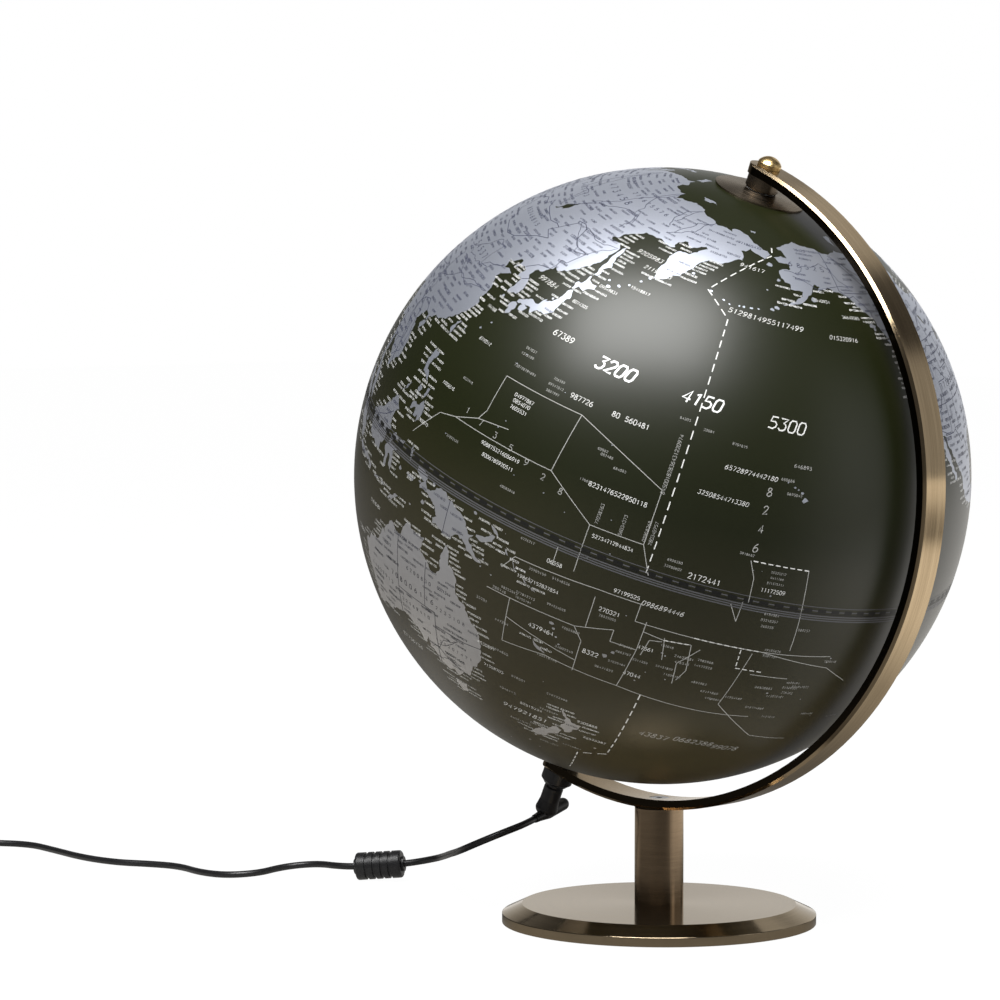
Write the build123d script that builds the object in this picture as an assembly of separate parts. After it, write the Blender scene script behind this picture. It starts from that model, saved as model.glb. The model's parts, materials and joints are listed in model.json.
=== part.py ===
"""Illuminated desk globe on a brushed brass stand.

Millimetres, +Z up. The origin is the middle of the base's underside on the table, on the column's axis. The
meridian arc lies in the XZ plane and bulges towards +X, and the north pole leans towards +X.
"""
from build123d import *
import math
import os

# ---------------------------------------------------------------- ball
BALL_RADIUS = 150.0
SHELL_WALL = 1.6
BALL_CENTRE_X = 1.2
AXIS_TILT = 23.5
EQUATOR_RING_HEIGHT = 14.0
EQUATOR_RING_WALL = 2.0
JOINT_GAP = 0.05
NORTH_CAP_RADIUS = 22.0
NORTH_CAP_WALL = 0.8
NORTH_CAP_HOLE_RADIUS = 7.4
NORTH_HOLE_RADIUS = 7.0
SOUTH_HOLE_RADIUS = 11.0
BUSH_FLANGE_WALL = 2.0
BUSH_FLANGE_LIP = 5.0
BUSH_LENGTH = 9.0

# ---------------------------------------------------------------- meridian arc
ARC_GAP = 7.8
ARC_THICKNESS = 4.8
ARC_WIDTH = 17.8
ARC_CHAMFER = 1.3
ARC_END_ALLOWANCE = 8.9
ARC_END_RADIUS = 8.6

# ---------------------------------------------------------------- base and column
BASE_RADIUS = 77.0
BASE_RIM_HEIGHT = 5.0
BASE_BEVEL_WIDTH = 9.8
BASE_BEVEL_RISE = 4.6
BASE_EDGE_RADIUS = 0.4
COVER_WALL = 1.2
COVER_FIT = 0.1
PAD_INSET = 3.0
PAD_THICKNESS = 1.0
PAD_PROUD = 0.5
COLUMN_RADIUS = 12.0
COLUMN_WALL = 2.0
COLUMN_LENGTH = 47.2
HEAD_INSERT_LENGTH = 16.0
INSERT_SPACING = 9.2
BASE_BOLT_RADIUS = 4.0
BASE_BOLT_TIP_CLEARANCE = 8.0
BASE_BOLT_HEAD_FLATS = 13.0
BASE_BOLT_HEAD_HEIGHT = 3.0
BASE_WASHER_RADIUS = 12.0
BASE_WASHER_THICKNESS = 1.2
ARC_SCREW_RADIUS = 2.5
ARC_SCREW_LENGTH = 14.0
ARC_SCREW_HEAD_RADIUS = 4.8
ARC_SCREW_HEAD_DEPTH = 2.4
ARC_SCREW_SOCKET_FLATS = 3.0
THREAD_FIT = 0.05

# ---------------------------------------------------------------- north pivot
RUNNING_FIT = 0.05
AXIAL_FIT = 0.3
PIN_RADIUS = 4.0
PIN_NECK_RADIUS = 3.0
PIN_TIP_OVER_ARC = 3.4
COLLAR_RADIUS = 7.6
COLLAR_HEIGHT = 0.8
COLLAR_EDGE_RADIUS = 0.2
SPACER_RADIUS = 8.2
FINIAL_RADIUS = 5.7
FINIAL_SKIRT = 2.0
FINIAL_HEIGHT = 5.2

# ---------------------------------------------------------------- south pivot and jack
HOUSING_PIVOT_RADIUS = 8.0
HOUSING_FLANGE_RADIUS = 8.6
HOUSING_NECK_RADIUS = 5.9
JACK_NUT_RADIUS = 7.9
JACK_NUT_HEIGHT = 7.6
JACK_NUT_BEVEL = 1.6
JACK_BORE_RADIUS = 2.8
JACK_PIN_RADIUS = 1.0
JACK_DEPTH = 9.5
JACK_BODY_RADIUS = 4.4
WIRE_HOLE_RADIUS = 3.0

# ---------------------------------------------------------------- lamp inside the ball
STEM_RADIUS = 5.0
STEM_WALL = 1.0
STEM_TOP_ABOVE_CENTRE = 6.0
BOARD_RADIUS = 17.5
BOARD_THICKNESS = 1.6
CHIP_COUNT = 6
CHIP_CIRCLE_RADIUS = 10.5
CHIP_SIZE = 3.5
CHIP_HEIGHT = 0.8
DIFFUSER_RADIUS = 20.0
DIFFUSER_WALL = 1.5
LEAD_RADIUS = 0.8
LEAD_SPACING = 1.8

# ---------------------------------------------------------------- plug in the jack
PLUG_RADIUS = 4.9
PLUG_FLARE_RADIUS = 5.7
PLUG_NECK_RADIUS = 3.9
PLUG_NECK_LENGTH = 1.6
PLUG_STRAIGHT = 9.0
PLUG_LENGTH = 18.2
PLUG_BARREL_RADIUS = 2.75
PLUG_ELBOW_RADIUS = 3.5
PLUG_LUG_RADIUS = 3.2
PLUG_LUG_HEIGHT = 13.0
PLUG_LUG_REACH = 12.0

# ---------------------------------------------------------------- lead
CORD_DIAMETER = 3.5
CORD_RADIUS = CORD_DIAMETER / 2
RUN_SHARE = 0.45

# From the plug down to the ferrite.
HANGING_ROUTE = [
    (-72.7, -9.0, 45.4), (-70.3, -18.9, 44.1), (-73.5, -30.3, 41.1), (-82.2, -37.4, 36.5),
    (-94.9, -37.9, 31.1), (-109.8, -26.6, 27.0), (-127.0, -11.5, 22.9), (-143.5, 3.6, 18.8),
    (-156.0, 15.1, 15.8), (-164.6, 19.6, 13.5), (-174.1, 19.5, 11.2), (-182.3, 15.1, 9.5),
]
# From the ferrite along the table to the outside of the coil.
TABLE_ROUTE = [
    (-206.4, 1.1, 7.1), (-215.8, -2.0, 6.9), (-229.3, 0.2, 6.4), (-239.9, -4.2, 5.4),
    (-246.6, -13.8, 4.2), (-247.2, -28.5, 3.0), (-258.6, -40.9, 2.1), (-278.2, -41.1, CORD_RADIUS),
    (-301.9, -32.8, CORD_RADIUS), (-321.3, -37.9, CORD_RADIUS), (-337.0, -45.2, CORD_RADIUS),
    (-363.2, -45.3, CORD_RADIUS), (-398.0, -35.8, CORD_RADIUS), (-423.9, -29.5, CORD_RADIUS),
    (-446.1, -42.8, 1.9), (-463.5, -56.2, 2.75),
]
# From the coil's outside to the power adapter.
ADAPTER_ROUTE = [
    (-465.8, -91.8, 9.75), (-455.3, -102.5, 10.4), (-443.1, -112.9, 11.0), (-432.5, -123.5, 11.0),
]

COIL_CENTRE = (-449.0, -75.0)
COIL_MIDDLE_RADIUS = 20.25
COIL_WIDTH = 10.5
COIL_LAYERS = 3
COIL_CLEARANCE = 1.0
COIL_EDGE = 1.2
TIE_WALL = 0.7
TIE_WIDTH = 5.0
TIE_FIT = 0.2
TIE_ANGLE = 35.0

# ---------------------------------------------------------------- clip-on ferrite
FERRITE_CASE_RADIUS = 7.2
FERRITE_CASE_LENGTH = 24.4
FERRITE_EDGE = 1.2
FERRITE_NECK_RADIUS = 3.9
FERRITE_RIB_COUNT = 3
FERRITE_RIB_PITCH = 4.2
FERRITE_GROOVE_WIDTH = 1.6
FERRITE_GROOVE_DEPTH = 0.9
FERRITE_CORE_RADIUS = 5.6
FERRITE_CORE_LENGTH = 19.0
FERRITE_CORE_BORE = 2.4
FERRITE_FIT = 0.1
FERRITE_MOUTH = 0.6

# ---------------------------------------------------------------- power adapter
ADAPTER_TURN = -45.0
ADAPTER_LENGTH = 62.0
ADAPTER_WIDTH = 38.0
ADAPTER_HEIGHT = 28.0
ADAPTER_WALL = 2.0
ADAPTER_EDGE = 3.0
ADAPTER_SPLIT_HEIGHT = 16.0
ADAPTER_RELIEF_HEIGHT = 11.0
ADAPTER_RELIEF_LENGTH = 8.5
ADAPTER_RELIEF_RADIUS = 3.4
PIN_BOSS_LENGTH = 30.0
PIN_BOSS_WIDTH = 14.0
PIN_BOSS_HEIGHT = 3.0
MAINS_PIN_RADIUS = 2.0
MAINS_PIN_LENGTH = 19.0
MAINS_PIN_SPACING = 18.6

# ---------------------------------------------------------------- worked out
SHELL_INNER_RADIUS = BALL_RADIUS - SHELL_WALL
ARC_INNER_RADIUS = BALL_RADIUS + ARC_GAP
ARC_OUTER_RADIUS = ARC_INNER_RADIUS + ARC_THICKNESS
BASE_HEIGHT = BASE_RIM_HEIGHT + BASE_BEVEL_RISE
PAD_RADIUS = BASE_RADIUS - PAD_INSET
ARC_DROP = math.sqrt(ARC_OUTER_RADIUS**2 - BALL_CENTRE_X**2)
BALL_CENTRE_HEIGHT = BASE_HEIGHT + COLUMN_LENGTH + ARC_DROP
BALL_CENTRE = (BALL_CENTRE_X, 0, BALL_CENTRE_HEIGHT)
FOOT_INSERT_LENGTH = COLUMN_LENGTH - HEAD_INSERT_LENGTH - INSERT_SPACING
BASE_BOLT_GRIP = FOOT_INSERT_LENGTH - BASE_BOLT_TIP_CLEARANCE
TILT = math.radians(AXIS_TILT)
ACROSS_TILT = Vector(math.cos(TILT), 0, -math.sin(TILT))
TO_NORTH = Vector(math.sin(TILT), 0, math.cos(TILT))
NORTH = Plane(BALL_CENTRE, x_dir=ACROSS_TILT, z_dir=TO_NORTH)
SOUTH = Plane(BALL_CENTRE, x_dir=ACROSS_TILT, z_dir=TO_NORTH * -1)
NORTH_SEAT = math.sqrt(SHELL_INNER_RADIUS**2 - (NORTH_HOLE_RADIUS + BUSH_FLANGE_LIP) ** 2) - JOINT_GAP
SOUTH_SEAT = math.sqrt(SHELL_INNER_RADIUS**2 - (SOUTH_HOLE_RADIUS + BUSH_FLANGE_LIP) ** 2) - JOINT_GAP
BUSH_NOSE = BALL_RADIUS + 0.4
COLLAR_BASE = BALL_RADIUS + JOINT_GAP + NORTH_CAP_WALL + AXIAL_FIT
SPACER_BASE = COLLAR_BASE + COLLAR_HEIGHT
HOUSING_SHOULDER = BALL_RADIUS + AXIAL_FIT + 0.9
HOUSING_TOP = SOUTH_SEAT - BUSH_LENGTH - 1.5
HOUSING_MOUTH = ARC_OUTER_RADIUS + JACK_NUT_HEIGHT + 0.6
JACK_BODY_LENGTH = JACK_DEPTH + 2.0
STEM_SOCKET_DEPTH = 6.0
LAMP_FLANGE_WALL = 2.0
LAMP_FLANGE_TOP = STEM_TOP_ABOVE_CENTRE + LAMP_FLANGE_WALL
CIRCLE_SLACK = 0.02


def spun(points):
    """The solid that a closed outline of (radius, height) points sweeps about the Z axis."""
    outline = Plane.XZ * make_face(Polyline(*points, close=True))
    return revolve(outline, Axis.Z)


def rod(radius, bottom, top):
    """A solid cylinder on the Z axis between two heights."""
    return Pos(0, 0, (bottom + top) / 2) * Cylinder(radius, top - bottom)


def tube(outer, inner, bottom, top):
    """A round tube on the Z axis between two heights."""
    return rod(outer, bottom, top) - rod(inner, bottom - 1, top + 1)


def hexagon(flats, bottom, top):
    """A hexagonal prism on the Z axis, given across its flats."""
    outline = Pos(0, 0, bottom) * RegularPolygon(flats / 2, 6, major_radius=False)
    return extrude(outline, top - bottom)


def arc_drum(radius):
    """The solid drum, on the meridian arc's own axis, whose curved face has this radius."""
    return Pos(*BALL_CENTRE) * Rot(90, 0, 0) * Cylinder(radius, 4 * COLUMN_RADIUS)


def placed(plane, shape):
    """The shape moved from its own axes to those of the plane."""
    return plane.location * shape


def spherical_wall(inner, outer, low_angle, high_angle):
    """The face between two radii about the origin, from one elevation to another, in degrees."""
    near = CenterArc((0, 0), inner, low_angle, high_angle - low_angle)
    far = CenterArc((0, 0), outer, low_angle, high_angle - low_angle)
    return make_face(near + far + Line(near @ 0, far @ 0) + Line(near @ 1, far @ 1))


# ---------------------------------------------------------------- ball
def hemisphere(hole_radius):
    """Half of the ball's shell, its rim at the origin and a round hole at the pole."""
    shell = revolve(Plane.XZ * spherical_wall(SHELL_INNER_RADIUS, BALL_RADIUS, 0, 90), Axis.Z)
    return shell - rod(hole_radius, 0, BALL_RADIUS + 1)


def equator_ring():
    half_angle = math.degrees(math.asin(EQUATOR_RING_HEIGHT / 2 / SHELL_INNER_RADIUS))
    outer = CenterArc((0, 0), SHELL_INNER_RADIUS - JOINT_GAP, -half_angle, 2 * half_angle)
    bore = SHELL_INNER_RADIUS - EQUATOR_RING_WALL
    low, high = (outer @ 0), (outer @ 1)
    bottom = Line(low, (bore, low.Y))
    top = Line(high, (bore, high.Y))
    return revolve(Plane.XZ * make_face(outer + bottom + top + Line(bottom @ 1, top @ 1)), Axis.Z)


def north_cap():
    inner = BALL_RADIUS + JOINT_GAP
    low_angle = 90 - math.degrees(math.asin(NORTH_CAP_RADIUS / inner))
    disc = revolve(Plane.XZ * spherical_wall(inner, inner + NORTH_CAP_WALL, low_angle, 90), Axis.Z)
    return disc - rod(NORTH_CAP_HOLE_RADIUS, 0, 2 * BALL_RADIUS)


def bush(hole_radius, seat, shaft_radius):
    """A flanged bush: its flange seats inside the shell and its nose fills the hole."""
    outer = hole_radius - JOINT_GAP
    flange = hole_radius + BUSH_FLANGE_LIP
    bottom = seat - BUSH_LENGTH
    body = spun([
        (0, bottom), (outer, bottom), (outer, seat - BUSH_FLANGE_WALL), (flange, seat - BUSH_FLANGE_WALL),
        (flange, seat), (outer, seat), (outer, BUSH_NOSE), (0, BUSH_NOSE),
    ])
    return body - rod(shaft_radius + RUNNING_FIT, bottom - 1, BUSH_NOSE + 1)


# ---------------------------------------------------------------- base and column
def base_cover():
    """The spun cover: a vertical rim, a bevel and a flat top, open below."""
    bevel_radius = BASE_RADIUS - BASE_BEVEL_WIDTH
    slope = BASE_BEVEL_RISE / BASE_BEVEL_WIDTH
    inner_drop = COVER_WALL * (math.hypot(1, slope) - slope)
    outer = spun([
        (0, PAD_PROUD), (BASE_RADIUS, PAD_PROUD), (BASE_RADIUS, BASE_RIM_HEIGHT),
        (bevel_radius, BASE_HEIGHT), (0, BASE_HEIGHT),
    ])
    crests = outer.edges().filter_by(GeomType.CIRCLE).group_by(Axis.Z)[1:]
    outer = fillet([edge for group in crests for edge in group], BASE_EDGE_RADIUS)
    inner_radius = BASE_RADIUS - COVER_WALL
    inner_top = BASE_HEIGHT - COVER_WALL
    hollow = spun([
        (0, PAD_PROUD - 1), (inner_radius, PAD_PROUD - 1), (inner_radius, BASE_RIM_HEIGHT - inner_drop),
        (inner_radius - (inner_top - BASE_RIM_HEIGHT + inner_drop) / slope, inner_top), (0, inner_top),
    ])
    return outer - hollow - rod(BASE_BOLT_RADIUS + COVER_FIT, 0, BASE_HEIGHT + 1)


def base_weight():
    """The iron disc that fills the cover, with a recess for the bolt's head."""
    slope = BASE_BEVEL_RISE / BASE_BEVEL_WIDTH
    inner_drop = COVER_WALL * (math.hypot(1, slope) - slope) + 2 * COVER_FIT
    radius = BASE_RADIUS - COVER_WALL - COVER_FIT
    top = BASE_HEIGHT - COVER_WALL
    shoulder = BASE_RIM_HEIGHT - inner_drop
    disc = spun([
        (0, PAD_THICKNESS), (radius, PAD_THICKNESS), (radius, shoulder),
        (radius - (top - shoulder) / slope, top), (0, top),
    ])
    recess = rod(BASE_WASHER_RADIUS + 1, PAD_THICKNESS - 1, WASHER_TOP)
    return disc - recess - rod(BASE_BOLT_RADIUS + COVER_FIT, 0, BASE_HEIGHT)


BOLT_HEAD_BOTTOM = PAD_THICKNESS + 0.3
WASHER_BOTTOM = BOLT_HEAD_BOTTOM + BASE_BOLT_HEAD_HEIGHT
WASHER_TOP = WASHER_BOTTOM + BASE_WASHER_THICKNESS


def base_bolt():
    shank = rod(BASE_BOLT_RADIUS, WASHER_BOTTOM, BASE_HEIGHT + BASE_BOLT_GRIP)
    return shank + hexagon(BASE_BOLT_HEAD_FLATS, BOLT_HEAD_BOTTOM, WASHER_BOTTOM)


def column():
    blank = tube(COLUMN_RADIUS, COLUMN_RADIUS - COLUMN_WALL, BASE_HEIGHT, BALL_CENTRE_HEIGHT)
    return blank - arc_drum(ARC_OUTER_RADIUS + CIRCLE_SLACK)


def column_foot_insert():
    radius = COLUMN_RADIUS - COLUMN_WALL - JOINT_GAP
    return tube(radius, BASE_BOLT_RADIUS + THREAD_FIT, BASE_HEIGHT, BASE_HEIGHT + FOOT_INSERT_LENGTH)


def column_head_insert():
    radius = COLUMN_RADIUS - COLUMN_WALL - JOINT_GAP
    blank = tube(radius, ARC_SCREW_RADIUS + THREAD_FIT, ARC_BOTTOM - HEAD_INSERT_LENGTH, BALL_CENTRE_HEIGHT)
    return blank - arc_drum(ARC_OUTER_RADIUS + CIRCLE_SLACK)


# ---------------------------------------------------------------- meridian arc
ARC_BOTTOM = BALL_CENTRE_HEIGHT - ARC_DROP
ARC_SCREW_TOP = BALL_CENTRE_HEIGHT - math.sqrt(ARC_INNER_RADIUS**2 - BALL_CENTRE_X**2) - JOINT_GAP


def countersunk(radius, head_radius, fit):
    """A countersunk screw's shank and head on the Z axis, larger all round by the fit."""
    head_bottom = ARC_SCREW_TOP - ARC_SCREW_HEAD_DEPTH
    return spun([
        (0, ARC_SCREW_TOP - ARC_SCREW_LENGTH), (radius + fit, ARC_SCREW_TOP - ARC_SCREW_LENGTH),
        (radius + fit, head_bottom), (head_radius + fit, ARC_SCREW_TOP), (0, ARC_SCREW_TOP),
    ])


def arc_screw():
    socket = hexagon(ARC_SCREW_SOCKET_FLATS, ARC_SCREW_TOP - ARC_SCREW_HEAD_DEPTH * 0.7, ARC_SCREW_TOP + 1)
    return countersunk(ARC_SCREW_RADIUS, ARC_SCREW_HEAD_RADIUS, 0) - socket


def meridian_arc():
    """The flat bar bent past both poles, its outer edges chamfered and its end corners rounded."""
    half = ARC_WIDTH / 2
    overrun = math.degrees(ARC_END_ALLOWANCE / ARC_INNER_RADIUS)
    shoulder = ARC_OUTER_RADIUS - ARC_CHAMFER
    section = make_face(Polyline(
        (ARC_INNER_RADIUS, -half), (shoulder, -half), (ARC_OUTER_RADIUS, ARC_CHAMFER - half),
        (ARC_OUTER_RADIUS, half - ARC_CHAMFER), (shoulder, half), (ARC_INNER_RADIUS, half), close=True,
    ))
    start = Plane((0, 0, 0), x_dir=(0, 0, 1), z_dir=(-1, 0, 0))
    bar = revolve(start * section, Axis.Y, 180 + 2 * overrun)
    bar = placed(NORTH, Rot(0, -overrun, 0) * bar)
    lines = bar.edges().filter_by(GeomType.LINE)
    ends = lines.filter_by(lambda edge: ARC_THICKNESS / 2 < edge.length < ARC_THICKNESS)
    bar = fillet(ends, ARC_END_RADIUS)
    bar -= placed(NORTH, rod(PIN_NECK_RADIUS + THREAD_FIT, BALL_RADIUS, ARC_OUTER_RADIUS + 1))
    bar -= placed(SOUTH, rod(HOUSING_NECK_RADIUS + JOINT_GAP, BALL_RADIUS, ARC_OUTER_RADIUS + 1))
    bar -= countersunk(ARC_SCREW_RADIUS, ARC_SCREW_HEAD_RADIUS, JOINT_GAP)
    return bar - rod(ARC_SCREW_HEAD_RADIUS + JOINT_GAP, ARC_SCREW_TOP, ARC_SCREW_TOP + 1)


# ---------------------------------------------------------------- north pivot
CLIP_TOP = NORTH_SEAT - BUSH_LENGTH - AXIAL_FIT
CLIP_WALL = 1.0
CLIP_GROOVE_DEPTH = 0.8
CLIP_RADIUS = 7.0
PIN_FOOT = CLIP_TOP - CLIP_WALL - 2.0


def north_pin():
    """The pivot pin: a groove for its clip below, a thinner threaded neck above."""
    groove = PIN_RADIUS - CLIP_GROOVE_DEPTH
    shoulder = ARC_INNER_RADIUS - JOINT_GAP - 0.3
    tip = ARC_OUTER_RADIUS + PIN_TIP_OVER_ARC
    clip_bottom = CLIP_TOP - CLIP_WALL
    return spun([
        (0, PIN_FOOT), (PIN_RADIUS, PIN_FOOT), (PIN_RADIUS, clip_bottom), (groove, clip_bottom),
        (groove, CLIP_TOP), (PIN_RADIUS, CLIP_TOP), (PIN_RADIUS, shoulder), (PIN_NECK_RADIUS, shoulder),
        (PIN_NECK_RADIUS, tip), (0, tip),
    ])


def pin_clip():
    """The open retaining clip under the northern bush."""
    bore = PIN_RADIUS - CLIP_GROOVE_DEPTH + JOINT_GAP
    ring = tube(CLIP_RADIUS, bore, CLIP_TOP - CLIP_WALL, CLIP_TOP)
    return ring - Pos(CLIP_RADIUS, 0, CLIP_TOP) * Box(2 * CLIP_RADIUS, 1.6 * bore, 4 * CLIP_WALL)


def north_collar():
    """The thrust washer between the cap and the spacer, set back so that a dark line shows."""
    washer = rod(COLLAR_RADIUS, COLLAR_BASE, SPACER_BASE)
    rims = washer.edges().filter_by(GeomType.CIRCLE)
    return fillet(rims, COLLAR_EDGE_RADIUS) - rod(PIN_RADIUS + JOINT_GAP, COLLAR_BASE - 1, SPACER_BASE + 1)


def north_spacer():
    blank = tube(SPACER_RADIUS, PIN_RADIUS + JOINT_GAP, SPACER_BASE, ARC_OUTER_RADIUS)
    drum = Rot(90, 0, 0) * Cylinder(ARC_INNER_RADIUS - CIRCLE_SLACK, 4 * SPACER_RADIUS)
    return blank & drum


def finial_nut():
    """The domed nut over the arc, blind inside."""
    skirt_top = ARC_OUTER_RADIUS + FINIAL_SKIRT
    crown = ARC_OUTER_RADIUS + FINIAL_HEIGHT
    rise = crown - skirt_top
    dome_radius = (FINIAL_RADIUS**2 + rise**2) / (2 * rise)
    skirt = rod(FINIAL_RADIUS, ARC_OUTER_RADIUS, crown)
    nut = skirt & (Pos(0, 0, crown - dome_radius) * Sphere(dome_radius))
    thread_end = ARC_OUTER_RADIUS + PIN_TIP_OVER_ARC + 0.4
    return nut - rod(PIN_NECK_RADIUS + THREAD_FIT, ARC_OUTER_RADIUS - 1, thread_end)


# ---------------------------------------------------------------- south pivot and jack
def south_housing():
    """The jack's housing: pivot inside the ball, flange against the arc, threaded neck through it."""
    outer = spun([
        (0, HOUSING_TOP), (HOUSING_PIVOT_RADIUS, HOUSING_TOP),
        (HOUSING_PIVOT_RADIUS, HOUSING_SHOULDER), (HOUSING_FLANGE_RADIUS, HOUSING_SHOULDER),
        (HOUSING_FLANGE_RADIUS, ARC_OUTER_RADIUS), (0, ARC_OUTER_RADIUS),
    ])
    drum = Rot(90, 0, 0) * Cylinder(ARC_INNER_RADIUS - CIRCLE_SLACK, 4 * HOUSING_FLANGE_RADIUS)
    outer = (outer & drum) + rod(HOUSING_NECK_RADIUS, HOUSING_SHOULDER, HOUSING_MOUTH)
    jack_bore = rod(JACK_BODY_RADIUS + JOINT_GAP, HOUSING_MOUTH - JACK_BODY_LENGTH, HOUSING_MOUTH + 1)
    socket = rod(STEM_RADIUS + JOINT_GAP, HOUSING_TOP - 1, HOUSING_TOP + STEM_SOCKET_DEPTH)
    return outer - jack_bore - socket - rod(WIRE_HOLE_RADIUS, HOUSING_TOP, HOUSING_MOUTH)


def jack_nut():
    blank = rod(JACK_NUT_RADIUS, ARC_OUTER_RADIUS, ARC_OUTER_RADIUS + JACK_NUT_HEIGHT)
    lower_rim = blank.edges().filter_by(GeomType.CIRCLE).sort_by(Axis.Z)[-1]
    blank = chamfer(lower_rim, JACK_NUT_BEVEL)
    return blank - rod(HOUSING_NECK_RADIUS + JOINT_GAP, ARC_OUTER_RADIUS - 1, HOUSING_MOUTH + 1)


def dc_jack():
    """The socket with its centre pin; its mouth is flush with the housing."""
    floor = HOUSING_MOUTH - JACK_DEPTH
    shell = tube(JACK_BODY_RADIUS, JACK_BORE_RADIUS, floor, HOUSING_MOUTH)
    back = rod(JACK_BODY_RADIUS, HOUSING_MOUTH - JACK_BODY_LENGTH, floor)
    return shell + back + rod(JACK_PIN_RADIUS, floor, HOUSING_MOUTH - 0.5)


# ---------------------------------------------------------------- lamp
def lamp_stem():
    """The tube up the axis, with the flange that carries the board."""
    foot = -HOUSING_TOP - STEM_SOCKET_DEPTH
    stem = rod(STEM_RADIUS, foot, STEM_TOP_ABOVE_CENTRE)
    flange = rod(DIFFUSER_RADIUS, STEM_TOP_ABOVE_CENTRE, LAMP_FLANGE_TOP)
    return stem + flange - rod(STEM_RADIUS - STEM_WALL, foot - 1, LAMP_FLANGE_TOP + 1)


def led_board():
    return rod(BOARD_RADIUS, LAMP_FLANGE_TOP, LAMP_FLANGE_TOP + BOARD_THICKNESS)


def led_chips():
    chip = Pos(CHIP_CIRCLE_RADIUS, 0, CHIP_HEIGHT / 2) * Box(CHIP_SIZE, CHIP_SIZE, CHIP_HEIGHT)
    ring = [Rot(0, 0, 360 / CHIP_COUNT * i) * chip for i in range(CHIP_COUNT)]
    return Pos(0, 0, LAMP_FLANGE_TOP + BOARD_THICKNESS) * Compound(children=ring)


def led_diffuser():
    inner = DIFFUSER_RADIUS - DIFFUSER_WALL
    dome = revolve(Plane.XZ * spherical_wall(inner, DIFFUSER_RADIUS, 0, 90), Axis.Z)
    return Pos(0, 0, LAMP_FLANGE_TOP) * dome


def lamp_leads():
    foot = JACK_BODY_LENGTH - HOUSING_MOUTH
    return Compound(children=[
        Pos(0, side * LEAD_SPACING, 0) * rod(LEAD_RADIUS, foot, LAMP_FLANGE_TOP) for side in (-1, 1)
    ])


# ---------------------------------------------------------------- plug
def plug_body():
    """The moulded right-angle plug: a body on the polar axis, crossed by the arm that the lead leaves."""
    face = HOUSING_MOUTH
    shoulder = face + PLUG_NECK_LENGTH
    flare = face + PLUG_STRAIGHT
    rim = face + PLUG_LENGTH - PLUG_FLARE_RADIUS * 0.75
    stalk = spun([
        (0, face), (PLUG_NECK_RADIUS, face), (PLUG_NECK_RADIUS, shoulder), (PLUG_RADIUS - 0.4, shoulder),
        (PLUG_RADIUS, shoulder + 0.4), (PLUG_RADIUS, flare), (PLUG_FLARE_RADIUS, rim), (0, rim),
    ])
    cheek = Pos(0, 0, rim) * scale(Sphere(PLUG_FLARE_RADIUS), by=(1, 1, 0.75))
    return placed(SOUTH, stalk + cheek) + plug_arm()


def plug_arm():
    """The arm from the finger lug behind the plug to the exit of the lead."""
    exit_point = Vector(*HANGING_ROUTE[0])
    lug = Vector(*placed(SOUTH, Pos(0, -PLUG_LUG_REACH, HOUSING_MOUTH + PLUG_LUG_HEIGHT)).position)
    along = exit_point - lug
    reach = along.length
    arm = spun([
        (0, 0), (PLUG_LUG_RADIUS, 0), (PLUG_ELBOW_RADIUS, reach * 0.55),
        (PLUG_ELBOW_RADIUS * 0.7, reach * 0.84), (CORD_RADIUS + 0.4, reach), (0, reach),
    ])
    return placed(Plane(lug, z_dir=along), arm + Sphere(PLUG_LUG_RADIUS))


def plug_barrel():
    """The plug's metal sleeve, round the jack's centre pin."""
    tip = HOUSING_MOUTH - JACK_DEPTH + 0.3
    return tube(PLUG_BARREL_RADIUS, JACK_PIN_RADIUS + THREAD_FIT, tip, HOUSING_MOUTH)


# ---------------------------------------------------------------- lead
def cord(route):
    """The lead along straight runs joined by tangent arcs, each as large as its two runs allow."""
    points = [Vector(*point) for point in route]
    runs = [after - before for before, after in zip(points, points[1:])]
    radii = []
    for before, after in zip(runs, runs[1:]):
        half_turn = math.radians(before.get_angle(after)) / 2
        radii.append(RUN_SHARE * min(before.length, after.length) / math.tan(half_turn))
    path = FilletPolyline(*points, radius=radii)
    section = Plane(points[0], z_dir=runs[0]) * Circle(CORD_RADIUS)
    solid = sweep(section, path)
    wanted = math.pi * CORD_RADIUS**2 * path.length
    print("cord", round(path.length, 1), "mm, least radius", round(min(radii), 1),
          "volume share", round(solid.volume / wanted, 4), [round(radius, 1) for radius in radii])
    return solid


def ferrite_plane():
    """The ferrite's axes: Z along the lead from its upper to its lower end, X as near level as it goes."""
    start, end = Vector(*HANGING_ROUTE[-1]), Vector(*TABLE_ROUTE[0])
    along = end - start
    level = along.cross(Vector(0, 0, 1))
    return Plane((start + end) * 0.5, x_dir=level, z_dir=along)


def ferrite_length():
    return (Vector(*TABLE_ROUTE[0]) - Vector(*HANGING_ROUTE[-1])).length


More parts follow.
